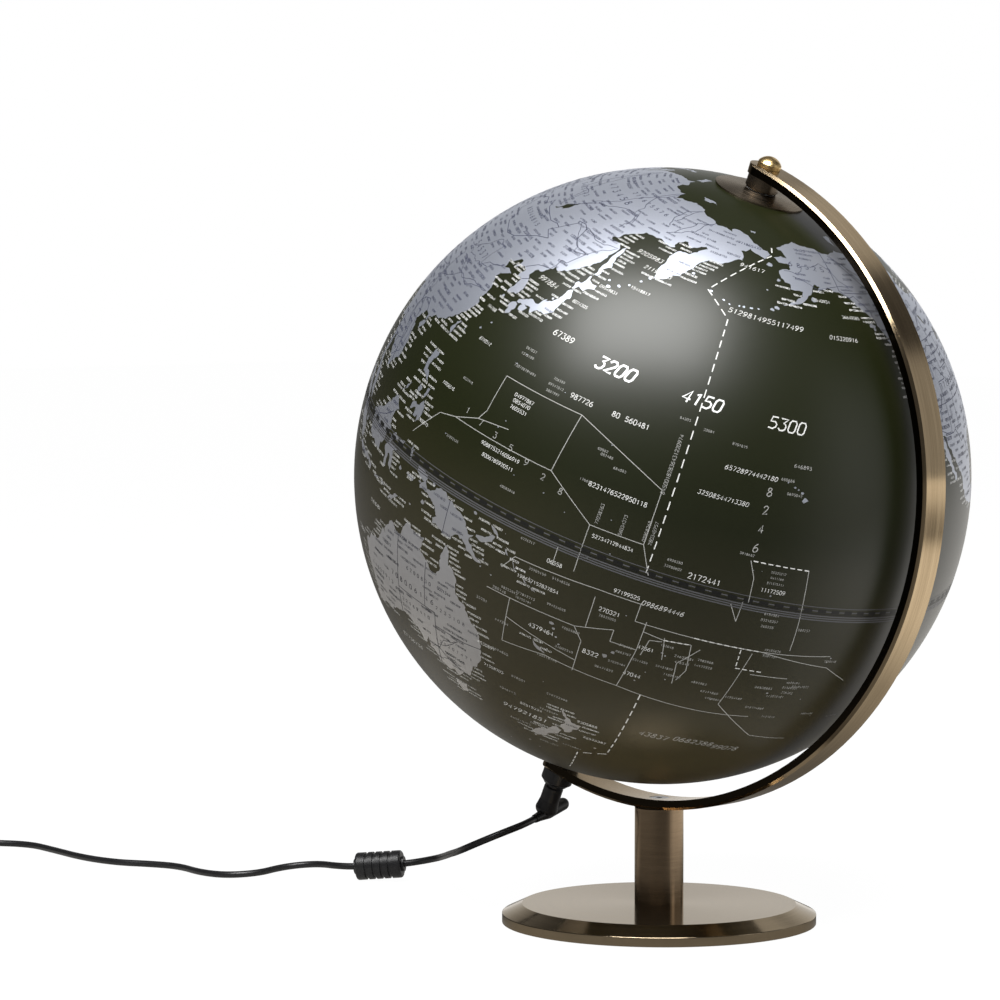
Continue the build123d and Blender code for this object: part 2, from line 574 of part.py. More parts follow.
def ferrite_case():
    """The whole case: rounded ends, grooves between ribs, a neck at each end, a hollow for the core."""
    half = FERRITE_CASE_LENGTH / 2
    body = rod(FERRITE_CASE_RADIUS, -half, half)
    body = fillet(body.edges().filter_by(GeomType.CIRCLE), FERRITE_EDGE)
    for i in range(FERRITE_RIB_COUNT + 1):
        middle = (i - FERRITE_RIB_COUNT / 2) * FERRITE_RIB_PITCH
        low, high = middle - FERRITE_GROOVE_WIDTH / 2, middle + FERRITE_GROOVE_WIDTH / 2
        body -= tube(FERRITE_CASE_RADIUS + 1, FERRITE_CASE_RADIUS - FERRITE_GROOVE_DEPTH, low, high)
    neck_end = ferrite_length() / 2 - FERRITE_MOUTH
    body += rod(FERRITE_NECK_RADIUS, -neck_end, neck_end)
    hollow = rod(FERRITE_CORE_RADIUS + FERRITE_FIT, -FERRITE_CORE_LENGTH / 2 - FERRITE_FIT,
                 FERRITE_CORE_LENGTH / 2 + FERRITE_FIT)
    return body - hollow - rod(CORD_RADIUS + FERRITE_FIT, -FERRITE_CASE_LENGTH, FERRITE_CASE_LENGTH)


def ferrite_half(side):
    """The half of the case above (+1) or below (-1) the lead."""
    size = 2 * FERRITE_CASE_LENGTH
    # The plane's Y points down, because its Z runs down the lead and its X is level.
    down = 1 if ferrite_plane().y_dir.Z < 0 else -1
    keep = Pos(0, -side * down * size / 2, 0) * Box(size, size, size)
    return placed(ferrite_plane(), ferrite_case() & keep)


def ferrite_core():
    half = FERRITE_CORE_LENGTH / 2
    return placed(ferrite_plane(), tube(FERRITE_CORE_RADIUS, FERRITE_CORE_BORE, -half, half))


def cord_in_ferrite():
    return placed(ferrite_plane(), rod(CORD_RADIUS, -ferrite_length() / 2, ferrite_length() / 2))


def cord_coil():
    """The outer shape of the wound length."""
    height = COIL_LAYERS * CORD_DIAMETER
    ring = tube(COIL_MIDDLE_RADIUS + COIL_WIDTH / 2, COIL_MIDDLE_RADIUS - COIL_WIDTH / 2, 0, height)
    ring = fillet(ring.edges().filter_by(GeomType.CIRCLE), COIL_EDGE)
    return Pos(*COIL_CENTRE, COIL_CLEARANCE) * ring


def coil_tie():
    """The band round the coil's turns at one place."""
    height = COIL_LAYERS * CORD_DIAMETER + 2 * TIE_FIT
    width = COIL_WIDTH + 2 * TIE_FIT + 0.6
    band = Box(width + 2 * TIE_WALL, TIE_WIDTH, height + 2 * TIE_WALL) - Box(width, 2 * TIE_WIDTH, height)
    middle = COIL_CLEARANCE + COIL_LAYERS * CORD_DIAMETER / 2
    return Pos(*COIL_CENTRE, middle) * Rot(0, 0, TIE_ANGLE) * Pos(COIL_MIDDLE_RADIUS - 0.1, 0, 0) * band


# ---------------------------------------------------------------- power adapter
# On its own axes the lead meets the relief at the origin's side and the length runs along X.
def adapter_place(shape):
    """The shape turned and moved to where the lead ends."""
    end = ADAPTER_ROUTE[-1]
    return Pos(end[0], end[1], 0) * Rot(0, 0, ADAPTER_TURN) * shape


def adapter_shell():
    """The adapter's hollow case, whole, lying on its back."""
    middle = ADAPTER_RELIEF_LENGTH + ADAPTER_LENGTH / 2
    block = Pos(middle, 0, ADAPTER_HEIGHT / 2) * Box(ADAPTER_LENGTH, ADAPTER_WIDTH, ADAPTER_HEIGHT)
    block = fillet(block.edges(), ADAPTER_EDGE)
    boss = Pos(middle, 0, ADAPTER_HEIGHT) * Box(PIN_BOSS_WIDTH, PIN_BOSS_LENGTH, 2 * PIN_BOSS_HEIGHT)
    boss = fillet(boss.edges().filter_by(Axis.Z), PIN_BOSS_WIDTH / 2 - 0.1)
    walls = 2 * ADAPTER_WALL
    hollow = Box(ADAPTER_LENGTH - walls, ADAPTER_WIDTH - walls, ADAPTER_HEIGHT - walls)
    return block + boss - Pos(middle, 0, ADAPTER_HEIGHT / 2) * hollow


def adapter_half(bottom, top):
    """The part of the case between two heights, with the holes for the pins."""
    slab = Pos(0, 0, (bottom + top) / 2) * Box(4 * ADAPTER_LENGTH, 2 * ADAPTER_WIDTH, top - bottom)
    middle = ADAPTER_RELIEF_LENGTH + ADAPTER_LENGTH / 2
    half = adapter_shell() & slab
    for y in pin_places():
        half -= Pos(middle, y, ADAPTER_HEIGHT) * Cylinder(MAINS_PIN_RADIUS + JOINT_GAP, ADAPTER_HEIGHT / 2)
    return adapter_place(half)


def pin_places():
    return (-MAINS_PIN_SPACING / 2, MAINS_PIN_SPACING / 2)


def adapter_pins():
    """The two round mains pins with ball ends, standing up from the boss."""
    tip = ADAPTER_HEIGHT + PIN_BOSS_HEIGHT + MAINS_PIN_LENGTH - MAINS_PIN_RADIUS
    pin = rod(MAINS_PIN_RADIUS, ADAPTER_HEIGHT - ADAPTER_WALL, tip)
    pin += Pos(0, 0, tip) * Sphere(MAINS_PIN_RADIUS)
    middle = ADAPTER_RELIEF_LENGTH + ADAPTER_LENGTH / 2
    return adapter_place(Compound(children=[Pos(middle, y, 0) * pin for y in pin_places()]))


def adapter_relief():
    """The tapered strain relief on the adapter's end."""
    cone = spun([
        (0, 0), (CORD_RADIUS + 0.5, 0), (ADAPTER_RELIEF_RADIUS, ADAPTER_RELIEF_LENGTH),
        (0, ADAPTER_RELIEF_LENGTH),
    ])
    return adapter_place(Pos(0, 0, ADAPTER_ROUTE[-1][2]) * Rot(0, 90, 0) * cone)


def parts():
    """Every piece by its name."""
    return {
        "base_cover": base_cover(),
        "base_weight": base_weight(),
        "base_pad": rod(PAD_RADIUS, 0, PAD_THICKNESS),
        "base_bolt": base_bolt(),
        "base_washer": tube(BASE_WASHER_RADIUS, BASE_BOLT_RADIUS + COVER_FIT, WASHER_BOTTOM, WASHER_TOP),
        "column": column(),
        "column_foot_insert": column_foot_insert(),
        "column_head_insert": column_head_insert(),
        "meridian_arc": meridian_arc(),
        "arc_screw": arc_screw(),
        "finial_nut": placed(NORTH, finial_nut()),
        "north_pin": placed(NORTH, north_pin()),
        "pin_clip": placed(NORTH, pin_clip()),
        "north_spacer": placed(NORTH, north_spacer()),
        "north_collar": placed(NORTH, north_collar()),
        "south_housing": placed(SOUTH, south_housing()),
        "jack_nut": placed(SOUTH, jack_nut()),
        "dc_jack": placed(SOUTH, dc_jack()),
        "lamp_stem": placed(NORTH, lamp_stem()),
        "led_board": placed(NORTH, led_board()),
        "led_chips": placed(NORTH, led_chips()),
        "led_diffuser": placed(NORTH, led_diffuser()),
        "lamp_leads": placed(NORTH, lamp_leads()),
        "upper_hemisphere": placed(NORTH, hemisphere(NORTH_HOLE_RADIUS)),
        "lower_hemisphere": placed(SOUTH, hemisphere(SOUTH_HOLE_RADIUS)),
        "equator_ring": placed(NORTH, equator_ring()),
        "north_cap": placed(NORTH, north_cap()),
        "north_bush": placed(NORTH, bush(NORTH_HOLE_RADIUS, NORTH_SEAT, PIN_RADIUS)),
        "south_bush": placed(SOUTH, bush(SOUTH_HOLE_RADIUS, SOUTH_SEAT, HOUSING_PIVOT_RADIUS)),
        "plug_body": plug_body(),
        "plug_barrel": placed(SOUTH, plug_barrel()),
        "cord_run_a": cord(HANGING_ROUTE),
        "cord_in_ferrite": cord_in_ferrite(),
        "ferrite_case_top": ferrite_half(1),
        "ferrite_case_bottom": ferrite_half(-1),
        "ferrite_core": ferrite_core(),
        "cord_run_b": cord(TABLE_ROUTE),
        "cord_coil": cord_coil(),
        "coil_tie": coil_tie(),
        "cord_run_c": cord(ADAPTER_ROUTE),
        "adapter_relief": adapter_relief(),
        "adapter_body": adapter_half(0, ADAPTER_SPLIT_HEIGHT),
        "adapter_cover": adapter_half(ADAPTER_SPLIT_HEIGHT, 2 * ADAPTER_HEIGHT),
        "adapter_pins": adapter_pins(),
    }


if __name__ == "__main__":
    os.makedirs("parts", exist_ok=True)
    for name, shape in parts().items():
        export_step(shape, f"parts/{name}.step")
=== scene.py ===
import json
import math
import random

import bpy
import numpy
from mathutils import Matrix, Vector
from mathutils.geometry import delaunay_2d_cdt


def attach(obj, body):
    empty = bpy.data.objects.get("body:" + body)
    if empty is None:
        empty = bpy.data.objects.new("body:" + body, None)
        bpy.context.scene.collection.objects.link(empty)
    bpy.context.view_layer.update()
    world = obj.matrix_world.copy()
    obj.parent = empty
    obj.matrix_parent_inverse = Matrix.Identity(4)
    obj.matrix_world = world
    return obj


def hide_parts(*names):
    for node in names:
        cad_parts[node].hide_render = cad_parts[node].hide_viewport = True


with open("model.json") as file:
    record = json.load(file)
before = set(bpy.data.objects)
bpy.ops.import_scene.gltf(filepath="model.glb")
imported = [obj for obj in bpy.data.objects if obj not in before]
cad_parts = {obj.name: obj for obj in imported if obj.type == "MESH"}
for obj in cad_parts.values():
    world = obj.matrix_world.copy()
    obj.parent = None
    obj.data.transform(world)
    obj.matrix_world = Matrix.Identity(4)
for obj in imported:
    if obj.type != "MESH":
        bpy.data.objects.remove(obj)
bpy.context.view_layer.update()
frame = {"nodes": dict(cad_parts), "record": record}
MM = 0.001
rng = random.Random(7)

# ---------------------------------------------------------------- the ball's own geography
spin = frame["record"]["behaviour"]["joints"][0]
CENTRE = Vector(spin["pos_m"])
POLE = Vector(spin["axis"]).normalized()
NOON = Vector((POLE.z, 0, -POLE.x))
EAST = POLE.cross(NOON)
RADIUS = 0.150
DEGREE = math.radians(1) * RADIUS
MERIDIAN_LONGITUDE = -128.4  # the longitude that lies under the arc at rest
NORTH_HOLE = 0.007
SOUTH_HOLE = 0.011
HOLE_SIDES = 48
GRID_SPACING = 0.0046
GRID_SOUTH, GRID_NORTH = -85.3, 86.9
GOLDEN_TURN = 137.50776405
INK_LIFT = 0.00004

# Coasts: a name, then the longitude and latitude of each corner, in degrees.
# In every table a row that starts with a space carries on the row before it.
LAND = """\
eurasia -169.8 66.1 -172 64.4 -175.5 65.2 -178.8 66.1 179.5 64.9 177.6 64.7 179.3 63 179.2 62.3 176.8 61.9
 173.4 60.2 170.5 59.6 168 59.4 166.3 58.4 165 56.8 164.6 56 163.4 54.6 162.6 53.4 160 52 158.1 51.2 156.9 50.8
 156.2 52 155.9 54 156 56 156.3 57.4 156.9 58.4 159.2 59 161.6 59.6 163.6 61 165.6 62 164.6 62.4 162.8 61.9
 160.2 60.6 157.6 61.7 155.8 61 154.4 59.8 155.1 59.2 152 58.9 149 59.6 145 59.4 142.3 59.2 140 57.7 137 55
 135.3 54.6 137 53.8 139.5 54.2 141.3 53.2 141.3 52.2 140.5 50.8 140.4 48.5 138.5 46.7 136.5 44.9 135.3 43.7
 133 42.8 131.8 43.3 130.7 42.3 129.7 41.1 127.6 39.8 127.4 39.2 128.4 38.6 129.4 37 129.5 36 129.2 35.2
 127.8 34.7 126.3 34.4 126.4 35.6 126.6 36.8 126.6 37.6 124.9 37.9 125.3 39.5 124 39.9 121.3 38.8 122 40.5
 120.9 40.6 119 39.2 117.8 39 118.9 37.5 120.8 37.8 122.6 37.2 121 36.6 119.3 35.1 120.4 34 121.8 31.8
 120.8 30.5 122 29.8 121.5 28.3 119.7 25.9 118 24.4 116.6 23.2 114.2 22.3 111.8 21.6 110.4 21.1 110.4 20.4
 109.8 20.5 109.7 21.5 108 21.6 106.6 20.3 105.7 18.9 107.6 16.7 109 15 109.3 12.8 109.1 11.6 107 10.4 106.6 9.6
 105 8.6 104.9 10.2 103.5 10.7 102.3 12.2 101 12.7 100.9 13.4 100 13.3 99.8 11.8 99.3 9.3 100.3 8.3 101.2 6.9
 102.4 6.2 103.4 4.6 103.5 2.6 104.2 1.4 103.4 1.4 101.3 2.8 100.4 5.2 99.7 6.6 98.3 8 98.7 10.4 98.6 12.8
 97.7 15.6 97.2 17 95.4 15.8 94.3 16 94.5 17.8 93.7 19.8 92.2 21.2 91.7 22.6 90.4 22.2 88.8 21.7 87 21.3
 86.8 20.3 85 19.6 82.4 17 80.3 15.6 80.2 13.3 79.9 11.2 79 9.3 78 8.3 77.5 8.1 76.3 10 75 12.4 73.9 15.4
 72.8 18.8 72.7 21.2 70.5 20.9 69 22.2 70.3 22.9 68.5 23.4 66.8 25 64.5 25.2 61.6 25.1 58 25.6 56.9 27.1
 54.7 26.6 52.6 27.4 51.4 27.9 50.2 30 48.5 30.2 48 29.6 48.6 28 50.1 26.6 50.8 24.8 51.2 26 51.6 25 51.4 24.4
 54 24.1 56 25.8 56.4 26.2 56.5 24.6 58.6 23.6 59.8 22.5 58.6 20.4 57.8 18.9 55.3 17.4 52.2 15.7 49 14.2 45 12.8
 43.5 12.7 42.8 15 42.6 16.6 40.8 19.6 39.1 21.4 38 24 35.5 27.8 34.8 29.4 34.3 27.8 32.6 29.9 32.3 31.2
 34.3 31.3 35 33 35.9 35.5 36 36.8 34 36.3 32.5 36.1 30.6 36.8 29 36.3 27.5 36.7 26.4 38.3 26.8 39.5 26.2 40
 26.8 40.4 25 40.8 23.8 40.3 22.8 40.4 23 39 24 37.8 22.8 36.5 21.6 37 21 38.6 19.4 40.5 19.4 41.8 16.5 43.4
 14.8 45 13.6 45.5 12.4 45.2 12.4 44.2 13.8 43.2 16 41.8 18.4 40.1 17 40.4 17.1 39 15.8 37.9 16 39.6 14.4 40.8
 12.3 41.7 10.4 43 9 44.3 7 43.5 4.5 43.4 3.1 42.7 3.2 41.9 0.8 40.8 -0.2 39.2 0 38.6 -0.8 37.7 -2.2 36.8
 -4.6 36.6 -5.6 36 -6.4 36.9 -8.9 37 -8.8 38.6 -9.4 38.8 -8.8 40.8 -8.9 43 -8 43.7 -4 43.4 -1.6 43.4 -1.2 45.8
 -2.2 47.2 -4.6 48.1 -3 48.8 -1.5 48.7 -1.8 49.7 0.2 49.6 1.6 50.7 4 51.8 4.8 53 7 53.5 8.6 53.9 8.2 56 8.6 57.1
 10.6 57.6 10.3 56.4 9.8 55 11 54.1 13 54.4 14.3 53.9 18.5 54.7 19.8 54.5 21 55.3 21.3 57 22.6 57.6 24.2 57.2
 23.6 58.7 25.5 59.5 29.8 59.9 28.5 60.6 25 60.1 22.8 59.9 21.3 61 21.4 62.8 25 65 24 65.8 22 65.4 21 64 17.4 62
 17.2 60.7 18.8 59.8 16.6 58.2 16 56.4 14.3 55.5 12.8 55.5 12.6 56.5 11.3 58.9 10.6 59.4 8 58.1 5.7 58.8 5 60.6
 5.2 62 8.5 63.7 11.5 65 13.5 67.2 16 68.5 19 69.9 23.5 70.9 28 71 31 70.3 33 69.4 37 68.7 41 67.3 40.5 66.5
 36 66.3 33 66.7 34.8 64.5 37.5 63.9 38 64.8 40.4 64.7 39.9 65.6 42 66.4 44.2 66 44 68.4 46.5 68.1 46.5 67
 50 68.2 54 68.3 59 68.6 61 69.6 65 69.2 68.6 68.2 67 69.6 67 71 69 72.8 72.6 72.8 72 70.6 73.5 68 72.5 66.4
 74.5 67 74.8 68.8 73.8 70 75 72.5 78 72.3 80.5 73.5 87 75 95 76 104.3 77.7 107 76.5 113 75.8 113 74 107 73.2
 110 73.9 118 73.3 123 73 127 73.4 129 71 132 71.8 139.5 72.4 140.5 72.8 149 72.2 152 70.9 159.8 70.1 160.5 69.6
 167 69.6 170.5 69 170.5 70.1 176 69.8 180 68.9 -175 67.4 -171 66.8
britain -5.6 50 -3.5 50.3 1.2 51 1.7 52.6 0.3 53 -1.5 55 -2 56 -1.9 57.6 -4 57.7 -3.2 58.6 -5 58.6 -5.6 57
 -5.6 55.6 -4.8 54.8 -3 54.8 -3 53.5 -4.5 53.2 -4.2 52.4 -5.2 51.8 -3 51.4 -4.3 51.1
ireland -6 52.2 -6.1 53.8 -5.6 54.6 -7.3 55.3 -8.4 54.5 -10 54.2 -9.4 53.2 -10.3 52.1 -9.5 51.5
iceland -22.6 63.9 -18.8 63.4 -15 64.3 -13.7 65.1 -16.2 66.4 -18.5 66 -22.5 66.4 -24.3 65.5 -22 64.7
novaya 52 71.5 56 73.3 60.5 75.6 68.5 76.9 61 75.4 57.6 71.8 57.5 70.7 53.5 70.9
svalbard 11 79.5 16 80 26 80 20 78.3 16.5 76.6 13.6 78
severnaya 92 79.8 97 81 105 79.2 100 78
siberian 137 75.8 144 76.1 150.5 75.2 143 74.9 140 74.8
wrangel 179 71.4 -178 71.5 -178.3 70.9 179.5 70.9
sakhalin 142.6 54.3 143.3 52.6 143.8 50 144.6 48.7 142.7 47.4 143.5 46.8 143.3 46.1 142.1 46 142 47.8 142.2 49.6
 141.9 51.7 142 53.4
hokkaido 141.9 45.5 143.3 44.3 145.3 44.2 145.5 43.3 143.9 42.9 143.2 42 141.4 42.5 141 41.8 140.1 41.5
 139.9 42.6 140.4 43.3 141.4 43.3 141.7 44.8
honshu 141 41.4 141.5 40.5 142 39.5 141 38.2 140.9 36.8 140.8 35.7 139.9 35.1 138.8 34.7 137 34.6 136.7 34.3
 135.8 33.5 135.1 34.5 133.5 34.4 131 34 131 34.6 132.7 35.4 135.8 35.6 136.7 36.9 137.3 37.4 137 36.8
 138.6 37.4 139.6 38.6 140 40 140.3 41.1
shikoku 132.5 33.8 133.6 34.3 134.6 34.1 134.2 33.3 133 32.8 132.5 33.3
kyushu 130.9 33.9 131.7 33.6 132 32.8 131.4 31.4 130.7 31 130.2 31.4 130.2 32.3 129.7 33 130.2 33.6
taiwan 121.6 25.2 121.9 24.9 121.3 23 120.9 22 120.1 23 120.7 24.6
hainan 110.9 20 110.5 19.1 109.5 18.2 108.7 18.9 109.3 19.9
luzon 120.7 18.5 122.2 18.5 122.2 17.2 121.6 16 121.6 14.6 123 13.9 124.1 12.6 123.3 13 121.8 13.7 120.7 13.9
 120.3 15 119.9 16.2 120.4 17.2
mindanao 123 8.6 124.7 8.6 125.5 9.8 126.4 8.2 126.2 6.3 125.5 5.6 125.3 7 124 6.4 124 7.8 122.2 7 122.3 8
samar 124.3 12.5 125.5 12.2 125.4 11 125 10.1 124.5 10.6 124.8 11.4
panay 122 11.8 123.1 11.5 122.9 10.6 122 10.5
negros 123 10.9 123.3 9.3 122.5 9.8
palawan 119.5 11.3 118.8 9.9 117.2 8.4 118.2 10
borneo 109 1.5 110 1.6 111.4 2.6 113 3.2 115 5 116.8 7 117.7 6.4 119.2 5.2 118 4.2 117.8 3 118.9 1 117.5 0.8
 117.5 -0.8 116.3 -2.5 116.2 -4 114.6 -4.1 113.2 -3.2 111.8 -3.5 110.2 -2.9 109.9 -1.2 109 0.4
sumatra 95.3 5.6 97.5 5.2 100.4 2.6 103.4 0.5 103.8 -1 106 -3 105.8 -5.8 104.5 -5.8 102.3 -4 100.4 -1 98.7 1.7
 97 3.2
java 105.2 -6.8 106.2 -5.9 108.5 -6.6 110.5 -6.9 111 -6.4 112.7 -7 114.5 -7.8 114.4 -8.7 110.5 -8.1 106.5 -7.4
sulawesi 120.8 1.3 123 0.9 125.2 1.6 124.4 0.4 121 0.5 120.2 -0.8 121.6 -0.9 123.4 -0.9 121.8 -1.9 122.5 -3.5
 122.6 -5.4 121.5 -4.6 120.9 -2.7 120.4 -3 120.4 -5.6 119.5 -5.5 119.5 -3.4 118.8 -2.8 119.8 0.2 120 0.7
halmahera 127.6 2 128 1.2 128.6 1.5 128.2 0.4 128.3 -0.8 127.7 0.2
seram 128.2 -3 130.8 -3.2 130.5 -3.8 128.2 -3.4
sumbawa 116.8 -8.5 119 -8.2 118.7 -8.8 116.9 -9
flores 119.9 -8.4 122.8 -8.2 121 -8.9
timor 123.5 -10.2 124.4 -9.2 127.2 -8.4 125.8 -9.3 124 -10.3
new_guinea 130.9 -0.5 132.3 -0.4 134.1 -0.9 134 -2 134.8 -3.3 135.8 -3.2 137 -2 138 -1.6 141 -2.6 144.6 -3.9
 145.8 -5.4 147.9 -6.1 147.1 -7 148.2 -8.6 149.8 -9.9 150.8 -10.4 149 -10.3 147.2 -9.5 146 -8.2 144.6 -7.6
 143.2 -8.6 143.2 -9.2 141 -9.1 139 -8.1 138 -8.4 137.8 -7.4 138.8 -6.8 138 -5.6 135.8 -4.5 133.8 -3.8 132.8 -4
 132.9 -2.9 132 -2.9 133.7 -2.4 132 -2.2 131 -1.4
new_britain 148.4 -5.7 150.2 -5.4 151.6 -4.2 152.3 -4.3 151.9 -5.5 150.3 -6.3 148.4 -6.1
new_ireland 150.8 -2.6 152.6 -3.6 153 -4.7 152.4 -3.9
bougainville 154.7 -5.4 155.9 -6.8 155.2 -6.4
new_georgia 156.7 -7.1 158.2 -8.6 157.3 -8.2
guadalcanal 159.6 -9.3 160.8 -9.9 160 -9.9
malaita 160.6 -8.3 161.4 -9.7 160.9 -9.3
san_cristobal 161.4 -10.2 162.4 -10.8 161.7 -10.7
new_caledonia 164 -20.1 165.7 -21.3 167 -22.3 166 -22 164.3 -20.8
australia 142.5 -10.7 143.5 -12.4 143.7 -14.2 145.3 -15 146 -17 146.3 -18.9 148.6 -20.2 149.8 -22.3 150.8 -23.4
 152.8 -25.3 153.4 -27.5 153.5 -28.9 152.6 -32.3 151.2 -34 150 -37.2 147.5 -38 146.3 -39.1 144.9 -38 143.5 -38.8
 140.6 -38 139.6 -36.2 138 -35.6 138 -34.3 137.7 -32.6 136.9 -35.2 135.7 -34.9 134.2 -32.7 131.2 -31.5 129 -31.6
 126 -32.3 124 -33 123.6 -33.9 120 -33.9 118 -35 115.1 -34.4 115.7 -32 115 -30 114.1 -27.4 113.5 -26.3 114 -24
 113.7 -22.6 114.4 -22 116.7 -20.7 119 -20 121 -19.6 122.2 -18 122.9 -16.5 124 -17.2 123.6 -16.4 125 -15
 126.8 -13.8 128.2 -14.8 129.6 -14.9 130.2 -13 130.8 -12.3 132.6 -11.4 132.6 -12.1 135.3 -12.2 136.8 -12.1
 136.3 -13.3 135.8 -14.8 137.8 -16 139.3 -17.4 140.8 -17.5 141.6 -15 141.7 -12.8
tasmania 144.7 -40.8 146.4 -41.1 148.3 -40.9 148.2 -42.2 147.9 -43.2 146.8 -43.6 145.4 -42.6
north_island 172.7 -34.5 174.4 -35.6 175.5 -36.6 176.2 -37.6 178.4 -37.7 177.9 -39.1 176.9 -39.6 176.3 -41.1
 175.2 -41.6 174.9 -40.9 173.8 -39.3 174.7 -38.5 174.6 -36.9 173.4 -35.4
south_island 172.7 -40.5 174.3 -41.2 173.8 -42.6 172.8 -43.7 171.2 -44.4 170.6 -45.9 168.6 -46.6 166.6 -46
 168.2 -44.1 170.8 -42.8 171.8 -41.4
ceylon 80 9.7 81.3 8.4 81.8 7 80.6 6 79.9 7.2
madagascar 49.3 -12.1 50.4 -15.6 47.8 -23 47 -25 45.2 -25.5 43.7 -23.4 44.3 -21 44 -17.6 46.3 -15.8 48 -13.8
africa 32.4 31.2 29 30.9 25 31.6 23 32.7 20 32 20 30.8 18.7 30.3 15.4 32.4 11 33.5 10.3 34.3 11 36.9 10 37.3
 5 36.8 0 35.8 -2 35.2 -5.4 35.9 -6.3 34.6 -9.7 31.3 -9.7 29.8 -13 27.8 -15 25.6 -17 21.2 -16.5 19 -16.4 16.5
 -17.5 14.7 -16.7 12.4 -15 11 -13.3 9 -11 6.6 -7.6 4.4 -4 5.2 -2 4.8 1.2 6 4.4 6.3 6 4.3 8.6 4.6 9.8 3.2 9.5 1
 8.8 -0.8 11.8 -4.6 12.3 -6 13.4 -8.8 13.8 -10.8 12.4 -13.6 11.8 -16.8 12.6 -19 14.5 -22.7 15.2 -26.6 18.2 -31.6
 18.4 -34.2 20 -34.8 25.6 -34 28.5 -32.5 31.5 -29 32.8 -27 32.6 -25.8 35.5 -24 35.4 -21 34.8 -19.8 37 -17.8
 40.6 -15.4 40.6 -11 39.4 -8.4 38.8 -6.2 40.2 -2.7 43 0.2 46.2 2.8 49 7 51.1 10.5 51.3 11.9 47 11.1 44.3 10.4
 43.2 11.5 42.8 12.8 40 15 38.5 18 37.2 20.2 35.5 23.8 34.2 26.3 32.7 29.8
north_america -168.1 65.6 -166 64.6 -161 64.5 -161 63.6 -164.6 63.1 -166 61.8 -164 60 -162 59.9 -162 58.7
 -158.6 58.8 -157.3 58.7 -157.6 57.6 -160.5 56 -163.2 55 -164.8 54.6 -161.5 55.2 -158.4 56 -156 57.4 -154.2 58.4
 -153.4 59.4 -151.8 61 -149.6 60.6 -151.7 59.3 -149 60 -146 60.8 -144 60 -139.7 59.6 -137 58.5 -134.5 57
 -132 55.6 -130.2 54.8 -129.8 53.2 -128 51.6 -127.2 50.8 -124.5 49.7 -122.8 49 -122.5 47.4 -124.7 48.4 -124 46
 -124.4 43 -124.3 40.4 -123.7 38.8 -122.4 37.2 -121.8 36.5 -120.6 34.6 -118.5 34 -117.2 32.6 -116 30.4
 -114.6 28.4 -115 27.8 -113.4 26.8 -112.2 25.5 -112 24.6 -110 22.9 -109.4 23.3 -110.8 25 -112.5 28 -114.8 31.6
 -113.2 31.2 -112 29 -109.4 26.6 -108 25 -105.6 22.6 -105.5 20.4 -103.6 18.3 -99.8 16.7 -96 15.7 -94 16.2
 -91.5 13.9 -87.7 13 -85.8 11 -85.6 9.9 -83.6 8.6 -82.8 8 -80.4 7.3 -80 8.4 -79.4 9 -78 8.2 -77.5 7.4 -77 8.4
 -79.6 9.6 -82.2 9.2 -83.6 10.8 -83.6 13 -83.2 15 -86 15.9 -88.6 15.8 -88.3 17.5 -87.5 20 -87 21.5 -90.2 21.1
 -90.7 19.3 -94.5 18.2 -96.2 19.3 -97.7 22.3 -97.3 26 -97.2 27.7 -95 29.2 -91 29.3 -89.2 29.1 -89.5 30.3
 -86 30.4 -84 30 -82.8 29 -82.8 27.8 -81.8 26 -80.9 25.2 -80.1 26.8 -81.4 30.6 -79.2 33.2 -75.6 35.2 -76 37
 -74 39.8 -74 40.6 -70.5 41.8 -70.6 43.2 -67 44.6 -64.8 45.6 -66 43.6 -63.5 44.6 -60.2 46.2 -64.2 46.4
 -64.8 48.4 -66 50.2 -60 50.2 -56 51.8 -55.6 53 -58 54.8 -61.6 57 -64.5 60.3 -66 58.8 -69.6 60.8 -74 62.3
 -77.6 62.4 -78 59.6 -76.6 57.2 -79 54.8 -79 51.5 -82.2 53 -82.3 55.2 -87.5 56.2 -92.5 57 -94.6 59 -94.3 61
 -91 63.5 -87 64.4 -86 66.2 -82 67 -81.5 69.2 -85.5 69.7 -86 68.2 -90 69 -94.5 72 -96 70 -96 68 -102 67.7
 -108 67.8 -115 68.2 -115 69.3 -124 69.7 -128 70.4 -135 69.2 -141 69.7 -150 70.6 -156.5 71.4 -163 69.6
 -166.5 68.4 -163 67 -162 66.2 -165 66.4
greenland -73 78.3 -68 76 -60 76.1 -54 72.5 -53 69.5 -53.5 66.8 -50 62.8 -45 60 -42.5 61.5 -40 65 -33 67.8
 -24 70 -21.5 72.5 -19 75.5 -18 80 -30 83.4 -45 82.6 -60 82 -66 80.4
baffin -62 66.5 -65 63.2 -66.8 62 -72 64 -73.5 66 -72.5 67.5 -78 70 -85 71 -89 73 -80 73.8 -74 71.6 -67 69.4
ellesmere -90 76.5 -79 76 -75 79 -64 82 -72 83.1 -85 82.3 -92 81 -87 79
victoria -105 73 -102 69.5 -114 69.2 -117 71 -118 72.6 -110 73
banks -123 71.2 -120 74 -125 74.2
devon -80 75.6 -92 76.2 -90 74.6 -80 74.6
newfoundland -55.6 51.5 -53 47.5 -56 47 -59.3 47.7 -57.6 50
cuba -84.8 22 -80 23.1 -74.3 20.2 -77.6 19.9 -78 21
hispaniola -74.3 18.4 -72.7 19.9 -69.9 19.7 -68.4 18.6 -71 17.7
vancouver -128.2 50.7 -125 49.8 -123.6 48.4 -125.5 48.9
south_america -77.5 7.6 -77.4 4.2 -78.8 1.8 -80 0.6 -80.9 -2.2 -79.9 -3 -81.3 -4.8 -79.8 -7.2 -78 -10.2
 -76.2 -13.9 -72.4 -17 -70.4 -18.4 -70.2 -22 -70.6 -25.6 -71.6 -30 -71.6 -33 -73.2 -37.2 -73.8 -41 -74 -43
